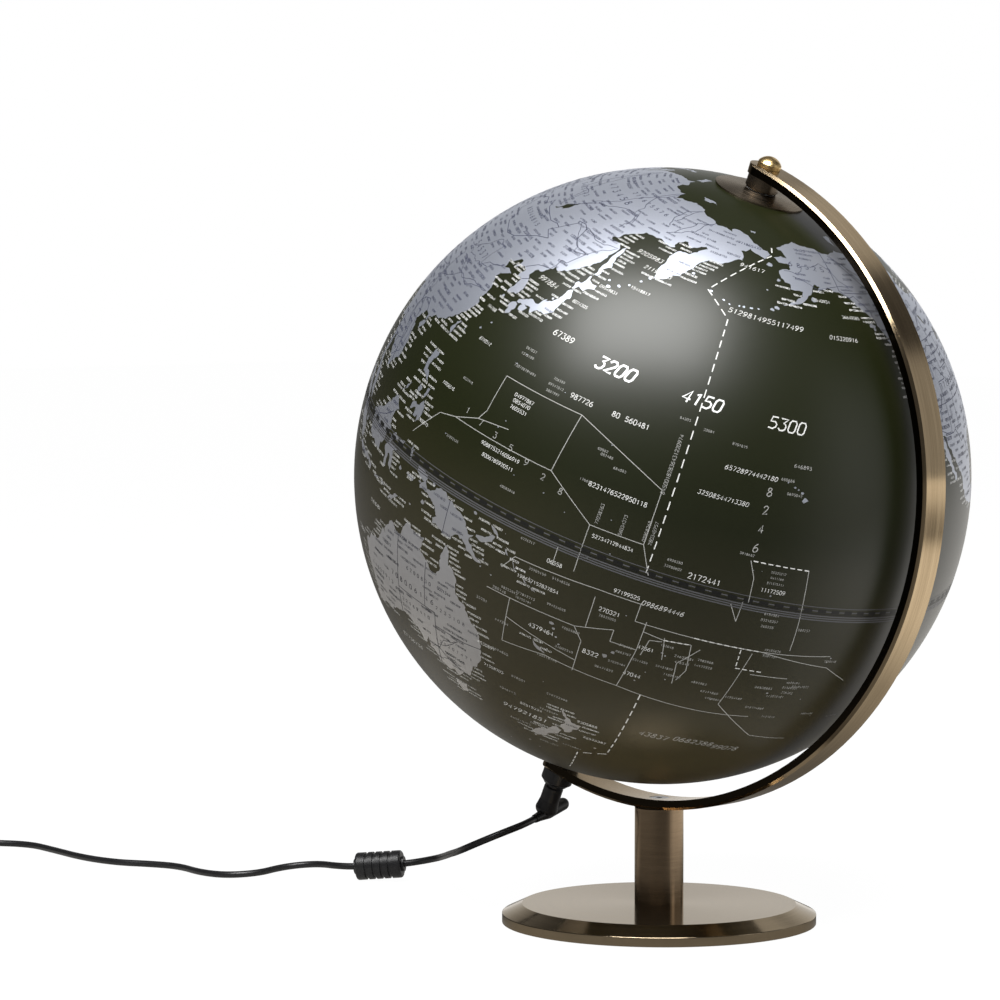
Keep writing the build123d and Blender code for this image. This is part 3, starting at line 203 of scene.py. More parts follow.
 -75.6 -46.8 -75.2 -50 -73.8 -53 -70 -55 -67 -55.6 -65.2 -54.8 -68.3 -53 -69 -51.6 -65.8 -48 -67.4 -46
 -65.2 -44.6 -63.8 -42.4 -65 -41 -62.2 -40.8 -62 -39 -57.6 -38.2 -56.8 -36.4 -58.4 -34.2 -56 -34.9 -53.5 -34
 -50.2 -30.2 -48.6 -27.8 -48.6 -25.8 -45 -23.6 -42 -23 -40.8 -21 -39 -17.6 -39 -13 -37 -11 -34.9 -8 -35.2 -5.2
 -39.8 -2.9 -44.3 -2.6 -48.5 -0.6 -50.5 0 -50 1.8 -51.6 4.2 -57.2 6 -60.8 8.6 -62 10.7 -68 10.8 -71.6 12.4
 -71.6 10.8 -75 11 -77.1 8.5
"""
# The Southern Ocean's inner shore: what lies south of it is land.
ICE = """
-180 -78 -165 -78.4 -158 -77 -150 -77 -140 -75 -130 -74.4 -115 -74.2 -102 -72.5 -90 -73 -76 -73 -68 -70
-67 -67.5 -61 -64.2 -57 -63.3 -60 -66 -61.5 -70 -62 -75 -75 -78 -60 -80 -40 -78 -30 -77 -20 -74.4 -12 -71.8
0 -70 15 -69.8 33 -68.8 40 -69.4 50 -66.4 57 -67 70 -68.4 75 -69.8 80 -67.8 95 -66.3 110 -66.2 125 -66.5
140 -66.8 150 -68.4 162 -70.8 170 -71.6 164 -77 168 -78
"""
INLAND_WATER = """\
black_sea 28 42 28.6 44 30.8 46.5 33.5 46 33 44.6 35.5 45.2 39 47 37.5 45 41.5 42 38 41 35 42 31 41.2 29 41.3
caspian 47 45 51 47 53 46.5 51 44.5 53 42 53 40 54 37.2 50 37.5 49 40 47.6 43
baikal 104 51.6 106 52.8 109.5 55.6 109.2 53.8 105.5 51.6
superior -92 46.7 -88 48.8 -84.6 46.6 -87.5 46.6
michigan -87.8 42 -88 44 -86.5 46 -85 45.8 -86.4 43.5 -87 41.7
huron -84 46 -81 45.2 -82 43.2 -83.4 44.5
erie -83.4 41.8 -79 42.8 -82 41.5
great_bear -124 65.2 -121 66.8 -118 66 -121 65.4
great_slave -117 61 -112 62.6 -110 62.6 -114 61.2
winnipeg -98.6 53.4 -96.4 50.6 -98 51.4
victoria_lake 31.8 -0.4 34 0.2 34 -1.6 32 -2.4
"""
# Islands too small for an outline: longitude, latitude and radius, in degrees.
ISLETS = """
-155.5 19.6 .55 -156.3 20.8 .3 -157.2 21.2 .18 -158 21.5 .25 -159.5 22.1 .2 178 -17.8 .55 179.2 -16.6 .4
166.9 -15.3 .45 167.5 -16.2 .35 168.3 -17.7 .25 169.2 -19 .25 167.3 -21 .2 -172.4 -13.6 .25 -171.7 -14 .22
-153.5 57.4 .7 -166.6 53.7 .5 -168.2 53.1 .4 -172.4 52.4 .22 -174.4 52.1 .3 -176.6 51.9 .28 -178 51.8 .22
179.2 51.5 .2 177.4 52 .25 173 52.9 .3 167.9 -47 .3 144.8 13.5 .2 145.7 15.1 .16 134.5 7.5 .18 151.7 7.4 .12
158.2 6.9 .16 163 5.3 .12 171.3 7.1 .12 173 1.4 .14 166.9 -.5 .14 169.5 -.8 .14 179.2 -8.5 .14 -175.2 -21.1 .2
-173.9 -18.6 .14 -169.9 -19 .16 -159.8 -21.2 .16 -149.4 -17.7 .25 -151.4 -16.7 .15 -139.6 -8.9 .18
-140.2 -9.8 .15 -134.9 -23.1 .12 -144 -17.5 .12 -141 -18.6 .12 -145.5 -16.2 .12 -109.4 -27.1 .2 -157.4 1.9 .2
-160.4 6 .1 -162 5.9 .1 166.6 19.3 .12 153.9 24.3 .1 141.4 24.8 .14 142.2 27 .12 146.8 46.4 .25 147.9 45.2 .4
150.2 46.2 .3 152.3 47.3 .22 154.3 49 .25 155.8 50.4 .35 165.9 55.2 .3 -170.3 57.1 .2 -170 63.4 .6
-166.3 60.1 .4 129.5 28.3 .25 127.9 26.4 .3 126.5 33.4 .35 124.2 24.4 .18 138.4 38 .3 125.9 -3.3 .5 134.5 -6 .5
136.2 -1.8 .4 131.2 -8 .3 147 -2.1 .4 150.8 -10.9 .2 151 -9.4 .25 153.3 -11.5 .2 154 -2.9 .1 159.1 -31.5 .12
168 -29 .12 -176.5 -44 .3 166 -50.7 .25 169.1 -52.5 .15 158.9 -54.6 .14 -132 53.2 .7 -131.7 52.5 .4 -134 57.9 .5
-5.5 -16 .15 -8 40 0 55.5 -21.1 .3 57.5 -20.3 .3 -77.3 18.1 .6 -66.4 18.2 .55 -61.4 10.4 .35 14 37.6 .9
9.1 39.9 .8 8.9 42.2 .5 24.9 35.2 .5 33.2 35 .6 2.9 39.6 .4 -91 -.6 .5 -81 -43 0 -73.8 -42.8 .5 -59 -51.8 .8
-61 -51.9 .5 -37 -54.4 .6 70 -49.3 .6 -7 62 .2 -1.3 60.3 .25 -25.5 37.8 .2 -16.6 28.3 .35 -15.6 28 .25
18.6 57.5 .35 11.8 55.5 .55 10.4 55.3 .3 -71 -54.2 .8 93 12.5 .3 98 -1 .3 100 -2.6 .3 106 -2 .6
"""
# Sea boundaries, borders and rivers: one line each, as longitude and latitude.
SEA_LINES = """\
141 15 141 20 141 22 159 22 178 15
159 22 158 11
126 4 131 10 135 11 147 11 158 11 168 5 178 5
135 11 140 13 141 15
140 13 147 14
178 15 178 5 179.5 2 -179.5 0
168 5 168 -4
164 -1 164 -4.5
155 -9 157 -6 173 -5.5 -179 -5.5 -179 -9 -168 -9
-168 -9 -155 -9 -140 -8.5
153 -14 158 -14 168 -14 171 -14 178 -12 178 -14.5 -177 -14.5
158 -14 158 -23.5 167 -22.5 -178 -23.5 -160 -24.5 -150 -24
171 -14 173 -16.5 173 -23.5
158 -18 173 -21
173 -7 173 -13.5
-177 -8.5 -177 -14.5 -177.5 -19.5 -178 -23.5
-177 -10.5 -173 -11 -168 -10.5 -167 -16 -168 -18.5
-173 -10.5 -172 -15
-163 7.5 -161.5 4.5 -161 0
-151.5 7.5 -150 -3 -149.5 -8
-164 -1 -162 -4 -162 0
-156.5 -9.6 -157 -13.7 -157.8 -22 -153.6 -24.9 -146.2 -29.3 -136 -30
-166.1 -11 -169.2 -14.9 -168.4 -19.5
-176 -15.3 -175.4 -11.8 -173.2 -11.4
-155 -9 -139.5 -11 -133 -14
-155 -14 -147 -14
"""
DASHED_SEA_LINES = """\
-151.5 7.5 -163 7.5
-168 -9 -155 -9
-158.9 -9.3 -158.4 -13.2 -152.6 -13.2
-173 -11 -168 -10.5
"""
DATE_LINE = """\
-169 68 -169 65.8 172 53 180 48.3 180 -0.5
-173 -24 -173 -45 180 -48 180 -60
"""
BORDERS = """\
130.7 42.3 131.3 43.5 131 45 133 45 135 48.4 131 47.7 130.6 48.9 127.6 50 126 52.8 123.5 53.5 120.1 53.2
 120.9 52.7 117.8 49.6
117.8 49.6 115.5 49.9 112 49.4 107 50 102.2 50.6 98.3 52 98 50.3 92.5 50.8 87.8 49.2
117.8 49.6 116 47.9 119.9 46.7 115.7 45.5 111.9 43.7 109 42.4 105 41.7 97.2 42.8 95.5 44.3 90.9 45.3 91 46.9
 87.8 49.2
87.8 49.2 85.5 47.1 82.4 45.3 80.2 42.2 76.5 40.4 73.9 39.7 74.9 37.2 78 35.5 79 32.5 81.2 30.1 84 28.9
 88.9 27.4 92 27.8 96.2 28.6 97.9 28.3 98.7 25.8 97.6 24 99.5 22.8 101.2 21.5 102.1 22.4 105.3 23.3 108 21.6
87.8 49.2 83.3 51 80 51 76.5 54.2 71 54.2 69 55.3 61.5 54 61 51.5 54 51 50 50.2 47.3 47.8
124.3 40 126.9 41.7 128.1 42 130.7 42.4
126.7 37.8 128.4 38.6
101.2 21.5 100.6 20.2 101.2 19.5 102.1 17.9 104.6 17.5 105.6 15 105.2 14.3 102.4 13.6 102.9 11.7
102.1 22.4 104.6 20.4 105.4 18.8 107.4 16 107.5 12.4 105.9 11.6 104.5 10.5
97.6 18.5 98.9 16.3 98.2 15.2 99.6 11.9 98.8 10.4
88.9 27.4 88.1 26 89.8 26 92 25 92.3 23.7 92.3 21.2
68.2 23.7 70.3 25.7 73 29 74.6 31.1 75.3 32.3 73.8 34.3 77.8 35.5
66.8 25 62 27.2 61 29.8 66.3 29.9 69.3 31.9 71 34 73.7 36.9
61 29.8 61 35.6 64.5 37.2 67.8 37.2 71.2 38.3 73.8 39.5
-141 69.6 -141 60.3 -137.5 58.9 -135 59.4 -133.4 58.4 -130 56 -130.3 55
-123 49 -95.2 49 -92 48.3 -89.5 48 -83.5 45.8 -82.4 42.6 -79 42.8 -76.4 44.1 -74.7 45 -71.5 45 -69 47.4 -67 45
-120 60 -102 60 -94.8 60
-120 60 -120 53.8 -114 49
-110 60 -110 49
-101.8 60 -101.5 49
-139 60 -120 60
-136.4 68.9 -129 64 -124 60
-117.1 32.5 -114.8 32.5 -111 31.4 -108.2 31.4 -106.5 31.8 -103.2 29 -101.4 29.8 -99 26.4 -97.2 26
-124.1 46.2 -119 46 -117 46 -117 49
-124.2 42 -111 42
-117 46 -117 42
-120 42 -120 39 -114.6 35 -114.6 32.7
-114 42 -114 37 -109 37 -94.5 37
-109 41 -109 31.4
-111 45 -104 45 -104 41 -109 41
-116 49 -114.5 45.5 -111 44.5 -111 42
-104 49 -104 45
-104 43 -96.4 43
-102 41 -102 37
-102 40 -95.3 40
-103 37 -103 32 -106.6 32
-96.6 46 -104 46
-97.2 49 -96.5 43 -94.5 37 -94 33 -93.8 30
129 -15 129 -31.6
138 -16.5 138 -26
129 -26 141 -26
141 -26 141 -38
141 -29 149 -29 153.5 -28.3
141 -34 144 -36 149.9 -37.5
141 -2.6 141 -9.1
109.6 2 112 1.4 115 2.5 117.6 4.2
-77.9 7.4 -77.4 8.5
-92.2 14.5 -91.4 17.3 -89.2 17.8 -89 15.9
-72 12 -72.6 9 -70.5 7 -67.5 6.2 -67 1.2 -69.9 1.2 -70 -4.3 -75.2 -0.1 -78.8 1.4
-70 -4.3 -73 -7.4 -70.6 -11 -69.4 -17.5 -70.4 -18.3
-70.6 -11 -65.3 -9.8 -60.4 -13.8 -58 -19.8 -62.7 -22 -68 -23 -70 -30 -70 -36 -71.5 -42 -71.8 -48 -73 -50.5
 -68.5 -52.3
25 31.6 25 22 31 22 36.9 22
11.5 33.2 9.5 30.3 10 24.3 14.2 22.6 24 19.5 25 20
-8.7 27.7 3.2 19.1 5.7 19.4 12 23.5
-5.5 15.5 -12 14.9 -16 16.5
35.9 4.6 41.9 3.9 41.2 -1.7
12.2 -6 16.6 -5.9 21.8 -7.3 24 -11 22 -13 22 -16.2 23.3 -17.6
20 -28.4 20 -22 21 -22 21 -18.3 25.3 -17.8 29.4 -22.2 31.3 -22.4
27.6 60.5 31 63 29 66.8 28.9 69
28 56.2 27.5 57.5 28.1 59.4
23.5 54 24 51.5 22.5 49 26.6 48.3 30 46.5 28.2 45.5
38.3 47.2 40 49.6 35.4 50.4 31.8 52.1 31 53.2
"""
RIVERS = """\
107.5 54 110 56 114 58.5 120 60 126 61.5 129.7 62 129.5 64 126 66 124 68 127 71.2 127 73.2
133 57 134.5 59.5 131.5 62.5
103.5 52.5 101.5 56.5 102 58 92.5 58.2 90 62 88 65.5 86.5 68 83 70 82.5 71.8
85 51.5 84 54 79 56.5 72 58.8 69 61 65.5 64 66.5 66.5 71 66.8
82 45.5 84 48 80 51 74 54.5 70 58 69 61
148 61.5 151 64 153.5 65.7 154 67.5 160 68.6 161 69.5
146 63.5 143.5 66 144 69 150 71.3
121.5 53.3 127 50.5 131 48.8 135 48.5 137.5 51 141 53
98.5 33 98.5 27 104 28.8 108.5 31 113 30 117 31.5 121 32
96 35 101 36 107.5 40.5 111 40 110.3 34.8 114 35 118.5 37.7
98 30 98.7 26 101 21.5 101 18 105.5 16 106 12.5 106.5 10
81 30.5 90 29.4 95 29.5 95 27.5 91 26 90 23.5
78.5 30.5 80.5 26.5 85 25.7 88.5 24
75 32 72 29 68.5 26 67.5 24
-164 62.8 -158 62.5 -155.5 65 -150.5 65.2 -145.5 66.5 -140.5 65 -139.5 63.5 -135 61
-135 69 -134 67.5 -128.5 65 -124.5 62.5 -121 61.7 -116.5 61.2
-111 58.5 -117.5 56.5 -123 56
-124 46.2 -119 46 -119.5 48 -118 50 -117 52
-122 50 -122.5 53.5 -119.5 53.5
-114.8 32.7 -114.5 35.5 -112 36.4 -110 38.5
-95.2 47 -91 43.5 -91.5 40 -89.3 37 -91 32.5 -91 30
-111.5 46 -107 48 -101 47 -97.5 42.8 -95.8 40 -90.5 38.8
-106.5 32 -106.7 36
-106 50.8 -100 53.5 -97.5 53.8
-71 -4.3 -66 -2.5 -60 -3.1 -55 -2.3 -51.5 -1.2
-60 -3.1 -61.5 -6.5 -65 -10
-58.5 -34 -60.7 -31.5 -58.5 -27.3 -54.5 -25 -51 -20
31.2 31 31 29 32.7 25.5 31 21 33.5 18.5 32.5 15.6 32.8 10 31.5 4
12.5 -6 15.5 -4.3 18 -0.5 21 2 25.2 0.5 26 -5
-8 12.5 -4 15 0 17 3 12.5 6.5 8 6.2 4.8
34.8 -18.5 30 -15.7 26 -17.9 22.7 -14
45 48.5 46 51.5 49.5 53.5 49 55.8 44 56.4
142 -36.5 144.5 -35.9 147.5 -36
139 -35 141.5 -34 143 -31.5 147.5 -29.5
"""
# Rows of figures with a chosen place: longitude, latitude, how many figures and their height in millimetres.
UPRIGHT_WHITE = """
147 20 8 2 147 19 7 2 147 17.8 7 2 147.3 9.8 16 2 147.6 8 13 2 170.8 11.7 16 2.5 178.1 -4.6 8 2.2
176.2 -8.9 6 2.4 162.4 -9 15 2 165.2 -17.4 7 2.6 175.3 -18.3 4 2.8 -175.5 -13.7 5 2.2 -176.1 -20 5 2.4
-157.2 2.8 8 2.2 147 33 5 3.4 -170 2.2 7 3.2 157.6 24.4 6 2.8 165 24.4 2 2.8 169.4 24.4 6 2.8 172.8 3.4 14 2
164.3 -4 5 2.2 126.6 30.4 6 1.8 131.4 25 7 1.8 145.2 39.6 7 1.8 148.6 44.6 8 1.8 155.8 47.2 8 1.8
-150.6 57.4 7 1.9 -140.5 54.6 8 1.9 154.6 -26.6 7 2 156.6 -31.4 8 1.9 179.5 -36.4 7 2 -177.5 -41 8 2
166.2 -37.6 8 2 127.8 6.6 7 1.7 129.6 14.8 8 1.7 119 -13.6 8 2 110.5 -22 7 2.2
"""
SMALL_PALE = """
165.4 17.9 5 1.5 166.5 17.2 6 1.5 164.4 11.9 5 1.5 169.6 15.8 6 1.5 176.2 -10.1 8 1.5 -168.3 -13.4 8 1.7
-168.3 -14.6 6 1.7 -164.3 -13.1 7 1.6 -164.3 -14.3 8 1.6 -157.2 6.2 8 1.4 -157.2 5.2 7 1.4 -157.2 4.2 9 1.4
-155.9 -1.5 7 1.6 -155.9 -2.7 8 1.6 -155.9 -3.9 6 1.6 -152.9 -8.4 8 1.6 -152.9 -9.6 7 1.6 -145.2 -14.8 7 1.6
-145.2 -16 8 1.6 -145.2 -17.2 6 1.6 177.8 28 5 1.5 -177.1 27.3 5 1.5 -170.5 26.4 7 1.5 -159.7 22.5 6 1.6
-157.8 20.2 7 1.6 -175.9 3.9 7 1.5 -175.9 2.7 8 1.5 -164 8.4 7 1.5 142.5 28.1 6 1.6 142.5 26.9 7 1.6
143.8 24.5 12 1.6 151.6 25.7 6 1.5 151.6 24.5 8 1.5 151.6 23.3 7 1.5 -157 25.2 6 2.2 133.4 17.6 7 1.5
136.5 7.4 8 1.5 151.5 4.6 8 1.5 158.4 -2.2 7 1.5 160.6 -13.2 8 1.5 -148.4 -3.6 6 1.6 171.5 -31.6 9 1.7
-179 -14.5 6 1.5 -179 -16 7 1.5 -179.5 -18.5 8 1.5 -175.6 -16.6 7 1.5 -172 -12 6 1.5 -171 -16.5 8 1.5
-169 -17.8 8 1.5 -163.6 -18 7 1.6 -160.8 -19.6 8 1.6 -159.4 -21 8 1.5 178.6 -20.6 8 1.6 170.6 -15.2 8 1.6
170.4 -19.6 8 1.6 167.6 -22.9 9 1.6 160.8 -12.2 9 1.6 157.6 -12.6 8 1.6 161.8 -6.8 8 1.6 166.4 -6.7 8 1.6
166.9 -11.8 9 1.5 -147.3 -18.3 9 1.6 -143 -15.6 9 1.6 -139.4 -9.6 7 1.6 -150 -21.6 9 1.6 -145.6 -23.6 7 1.6
-136.5 -22.4 7 1.6 -128 -23.5 7 1.6 -150.8 -16.6 8 1.7 -155.6 -19.9 8 1.6 155.6 -13.4 6 1.8 152.4 -17 5 1.8
157.3 -19.6 6 1.8 157.9 -26.3 7 1.8 162.6 -31 6 1.8 160.2 -35.6 7 1.8 163.6 -44 9 1.7 171.8 -48.4 8 1.7
178 -46.4 8 1.7 170.4 -36.6 8 1.7
"""
LEANING_WHITE = """
-175.1 -5.1 10 2.2 -169.6 50.4 16 2.5 -167 22.2 14 2 -171 16.8 14 1.9 164.8 -40.3 9 2.8 156.5 52.3 8 2
-176.5 61.2 6 2.2 -145.5 50 9 2 129.5 -38.5 8 2.4 151 54.8 7 2.2 133.8 40.2 6 2.4
"""
LEANING_PALE = "-166 -34.1 5 3.2 -157 -33.5 7 3.2 -148.8 -34.1 5 3.2"
LARGE_DARK = """
133.5 -24 9 2.8 104 36 5 3.6 110 62.8 6 3.8 103 47 8 2.6 127 65.5 9 2.4 -151 65 6 3 -108 56 6 3.4 -100 40 8 3.2
96 57.5 7 2.6 136 -20.4 7 2 121.5 -26.4 8 2.2 145.2 -24.6 7 2 145.8 -32.4 9 1.9 134.6 -28.2 8 2
"""
# Rows that climb beside the date line and between the island groups, in the same order of numbers.
CLIMBING_PALE = "178.2 19.8 20 1.7 179 7.4 9 1.5 177.8 7.4 8 1.5 169 7.4 8 1.5 173.5 7 8 1.5"
# The ten figures, each one stroke on a grid three wide and five high.
FIGURE_STROKES = """\
0.6 0 0 1 0 4 0.6 5 2.4 5 3 4 3 1 2.4 0 0.6 0
0.6 4 1.7 5 1.7 0
0 4.1 0.8 5 2.2 5 3 4.1 2.8 3 0 0 3 0
0 5 3 5 1.5 3 2.5 2.8 3 1.8 2.8 0.6 2 0 0.8 0 0 0.8
2.3 0 2.3 5 0 1.5 3.2 1.5
2.8 5 0.4 5 0.2 2.9 2 3.1 3 2.2 3 1 2 0 0 0.3
2.6 5 0.9 4 0 2.2 0 0.9 0.8 0 2.2 0 3 0.9 3 1.9 2.2 2.8 0.3 2.5
0 5 3 5 1.2 0
1.5 2.7 0.4 3.5 0.4 4.4 1 5 2 5 2.6 4.4 2.6 3.5 1.5 2.7 0 1.8 0 0.7 0.8 0 2.2 0 3 0.7 3 1.8 1.5 2.7
0.4 0 2.1 1 3 2.8 3 4.1 2.2 5 0.8 5 0 4.1 0 3.1 0.8 2.2 2.7 2.5
"""
FIGURE_WIDTH, FIGURE_HEIGHT, FIGURE_ADVANCE = 3, 5, 4.2
HALF_STEP = 0.42  # half the advance, as a share of the height
SLANT = 0.25


def rows_of(table):
    return table.replace("\n ", " ").splitlines()


def groups(text, size):
    """The numbers of a text, in tuples of one size."""
    numbers = [float(n) for n in text.split()]
    return list(zip(*(numbers[i::size] for i in range(size))))


def lines_of(table):
    return [groups(row, 2) for row in rows_of(table)]


def coasts_of(table):
    """The outlines of a table whose rows start with a name."""
    return [groups(row.partition(" ")[2], 2) for row in rows_of(table)]


def cosine(lat):
    return math.cos(math.radians(lat))


def on_ball(lon, lat, lift=0.0):
    """The point of the ball at a longitude and latitude."""
    turn, rise = math.radians(lon - MERIDIAN_LONGITUDE), math.radians(lat)
    flat = NOON * math.cos(turn) + EAST * math.sin(turn)
    return CENTRE + (flat * math.cos(rise) + POLE * math.sin(rise)) * (RADIUS + lift)


def on_map(lon, lat):
    """A flat map about the north pole that keeps angles."""
    spread = math.tan(math.radians(90 - lat) / 2)
    turn = math.radians(lon)
    return Vector((spread * math.cos(turn), spread * math.sin(turn)))


def off_map(point):
    return math.degrees(math.atan2(point.y, point.x)), 90 - 2 * math.degrees(math.atan(point.length))


def apart(a, b):
    """The distance between two places, in degrees of a great circle."""
    along = (on_ball(*a) - CENTRE).dot(on_ball(*b) - CENTRE) / RADIUS**2
    return math.degrees(math.acos(max(-1, min(1, along))))


def lon_gap(a, b):
    """The shorter way from one longitude to another."""
    return (b - a + 180) % 360 - 180


def rough_coast(points, step=0.55, wildness=0.16):
    """The closed outline with each side broken into short, uneven stretches."""
    shore = []
    for (lon, lat), (lon2, lat2) in zip(points, points[1:] + points[:1]):
        stretch = [(lon, lat), (lon + lon_gap(lon, lon2), lat2)]
        while apart(stretch[0], stretch[1]) > step:
            finer = [stretch[0]]
            for a, b in zip(stretch, stretch[1:]):
                lon_half, lat_half = (a[0] + b[0]) / 2, (a[1] + b[1]) / 2
                squeeze = max(0.2, cosine(lat_half))
                push = rng.gauss(0, wildness) * 0.7
                finer += [(lon_half - push * (b[1] - a[1]) / squeeze, lat_half + push * (b[0] - a[0]) * squeeze), b]
            stretch = finer
        shore += stretch[:-1]
    return shore


def islet_shore(lon, lat, size):
    """Seven uneven corners round a place."""
    corners = []
    for i in range(7):
        angle, reach = 2 * math.pi * i / 7, size * rng.uniform(0.65, 1.25)
        corners.append((lon + reach * math.cos(angle) / cosine(lat), lat + reach * math.sin(angle) * 0.8))
    return corners


# ---------------------------------------------------------------- materials
class Nodes:
    """A node tree and the kinds of node used here. A value is another node's output or a plain number or colour."""

    def __init__(self, tree):
        self.tree = tree

    def feed(self, node, inputs):
        for key, value in inputs.items():
            if isinstance(value, bpy.types.NodeSocket):
                self.tree.links.new(value, node.inputs[key])
            else:
                node.inputs[key].default_value = value

    def add(self, kind, inputs=None, **settings):
        node = self.tree.nodes.new("ShaderNode" + kind)
        for key, value in settings.items():
            setattr(node, key, value)
        self.feed(node, inputs or {})
        return node

    def math(self, operation, a, b=0.0):
        return self.add("Math", {0: a, 1: b}, operation=operation).outputs[0]

    def times(self, first, *others):
        for value in others:
            first = self.math("MULTIPLY", first, value)
        return first

    def plus(self, a, b):
        return self.math("ADD", a, b)

    def minus(self, a, b):
        return self.math("SUBTRACT", a, b)

    def over(self, a, b):
        return self.math("DIVIDE", a, b)

    def brightest(self, first, *others):
        for value in others:
            first = self.math("MAXIMUM", first, value)
        return first

    def length(self, a, b):
        return self.math("SQRT", self.plus(self.times(a, a), self.times(b, b)))

    def step_up(self, value, low, high):
        """0 below low and 1 above high, with a soft step between."""
        inputs = {"Value": value, "From Min": low, "From Max": high}
        return self.add("MapRange", inputs, interpolation_type="SMOOTHSTEP").outputs["Result"]

    def step_down(self, value, low, high):
        return self.minus(1.0, self.step_up(value, low, high))

    def component(self, vector, direction):
        inputs = {0: vector, 1: tuple(direction)}
        return self.add("VectorMath", inputs, operation="DOT_PRODUCT").outputs["Value"]

    def distance(self, vector, place):
        return self.add("VectorMath", {0: vector, 1: tuple(place)}, operation="DISTANCE").outputs["Value"]

    def split(self, vector):
        return self.add("SeparateXYZ", {0: vector}).outputs

    def join(self, *parts):
        return self.add("CombineXYZ", dict(enumerate(parts))).outputs[0]

    def coordinate(self, kind):
        return self.add("TexCoord").outputs[kind]

    def noise(self, vector, scale, detail, rough=0.5):
        inputs = {"Vector": vector, "Scale": scale, "Detail": detail, "Roughness": rough}
        return self.add("TexNoise", inputs).outputs["Fac"]

    def ramp(self, factor, low, high):
        """Two stops, each a place and a colour."""
        node = self.add("ValToRGB", {"Fac": factor})
        for element, (place, colour) in zip(node.color_ramp.elements, (low, high)):
            element.position = place
            element.color = (*colour, 1)
        return node.outputs["Color"]

    def bump(self, height, strength, distance):
        inputs = {"Height": height, "Strength": strength, "Distance": distance}
        return self.add("Bump", inputs).outputs["Normal"]

    def ray_kinds(self):
        """1 for what the camera sees, straight or through glass, and 1 for what polished surfaces mirror."""
        path = self.add("LightPath").outputs
        return self.brightest(path["Is Camera Ray"], path["Is Transmission Ray"]), path["Is Glossy Ray"]


def new_material(name):
    material = bpy.data.materials.new(name)
    material.use_nodes = True
    return material, Nodes(material.node_tree), material.node_tree.nodes["Principled BSDF"]


def grey(value):
    return (value, value, value)


ARC_RADIUS, ARC_SCRATCH = 0.16, 0.03  # the arc's radius and the length of a scratch along it, in metres


def brushed(name, base, dark, rough, lay, streak=0.0004):
    """Metal brushed one way: along the meridian arc, in rings round the base, in a band round the column, or round
    the ball's cap. streak is the width of a scratch in metres."""
    material, n, bsdf = new_material(name)
    place = n.coordinate("Object")
    if lay == "cap":
        place = n.join(*(n.minus(n.component(place, axis), CENTRE.dot(axis)) for axis in (NOON, EAST, POLE)))
    x, y, z = n.split(place)
    if lay == "arc":
        dx, dz = n.minus(x, CENTRE.x), n.minus(z, CENTRE.z)
        turn = n.times(n.math("ARCTAN2", dz, dx), ARC_RADIUS / ARC_SCRATCH)
        scratches = n.join(turn, n.over(y, streak), n.over(n.length(dx, dz), streak))
    else:
        turn = n.times(n.math("ARCTAN2", y, x), 1.6)
        scratches = n.join(turn, n.over(z if lay == "band" else n.length(x, y), streak), 0.0)
    fine = n.noise(scratches, 1.0, 4.0, 0.65)
    broad = n.noise(scratches, 0.22, 2.0)
    mixed = n.plus(n.times(fine, 0.65), n.times(broad, 0.35))
    colour = n.ramp(mixed, (0.32, dark), (0.62, base))
    if lay == "arc":
        # The flat flanks are coloured near black, the face and the bevels are bright. Sockets 6, 7 and 2 are the
        # colours.
        facing = n.math("ABSOLUTE", n.split(n.coordinate("Normal"))[1])
        flank = n.add("MapRange", {"Value": facing, "From Min": 0.86, "From Max": 0.96}).outputs[0]
        colour = n.add("Mix", {0: flank, 6: colour, 7: (0.022, 0.017, 0.011, 1)}, data_type="RGBA").outputs[2]
        tangent = n.join(0.0, 1.0, 0.0)
    elif lay == "band":
        tangent = n.join(0.0, 0.0, 1.0)
    elif lay == "rings":
        tangent = n.join(x, y, 0.0)
    else:
        tangent = n.join(*(n.plus(n.times(x, a), n.times(y, b)) for a, b in zip(NOON, EAST)))
    n.feed(bsdf, {
        "Base Color": colour,
        "Roughness": n.ramp(mixed, (0.3, grey(rough * 0.75)), (0.7, grey(rough * 1.3))),
        "Metallic": 1.0,
        "Specular Tint": (0.78, 0.76, 0.72, 1),
        "Anisotropic": 0.8,
        "Tangent": tangent,
        "Normal": n.bump(mixed, 0.10, 0.00002),
    })
    return material


def plain(name, colour, rough, metal=0.0, grain=3000.0, depth=0.05, variation=0.12):
    """A moulded, cast or turned surface with a fine grain and slightly uneven colour."""
    material, n, bsdf = new_material(name)
    point = n.coordinate("Object")
    fine = n.noise(point, grain, 2.0)
    low = [c * (1 - variation) for c in colour]
    high = [min(1, c * (1 + variation)) for c in colour]
    n.feed(bsdf, {
        "Base Color": n.ramp(n.noise(point, 60.0, 3.0), (0.35, low), (0.65, high)),
        "Roughness": n.ramp(fine, (0.3, grey(rough * 0.85)), (0.7, grey(rough * 1.15))),
        "Metallic": metal,
        "Normal": n.bump(fine, depth, 0.0001),
    })
    return material


def printed(name, north, south, rough, metal):
    """Ink or foil under the ball's satin lacquer: it turns warmer southward, with slow clouds and a fine flake. The
    change is partly a tint of the print and partly painted light: the south colour stands in for the floor's warm
    bounce and reflection on the ball's lower half, and paints the sea and the land lighter there.
    """
    material, n, bsdf = new_material(name)
    point = n.coordinate("Object")
    # rise is the height along the pole; toward the south the colour turns to the south one, which is partly painted
    # bounce light from the floor.
    rise = n.minus(n.component(point, POLE), CENTRE.dot(POLE))
    cloud = n.times(n.noise(point, 14.0, 2.0, 0.4), 0.06)
    flake = n.noise(point, 9000.0, 1.0)
    n.feed(bsdf, {
        "Base Color": n.ramp(n.plus(n.times(rise, 3.0), n.plus(cloud, 0.5)), (0.2, south), (0.62, north)),
        "Roughness": n.ramp(flake, (0.25, grey(rough * 0.9)), (0.75, grey(rough * 1.1))),
        "Metallic": metal,
    })
    return material


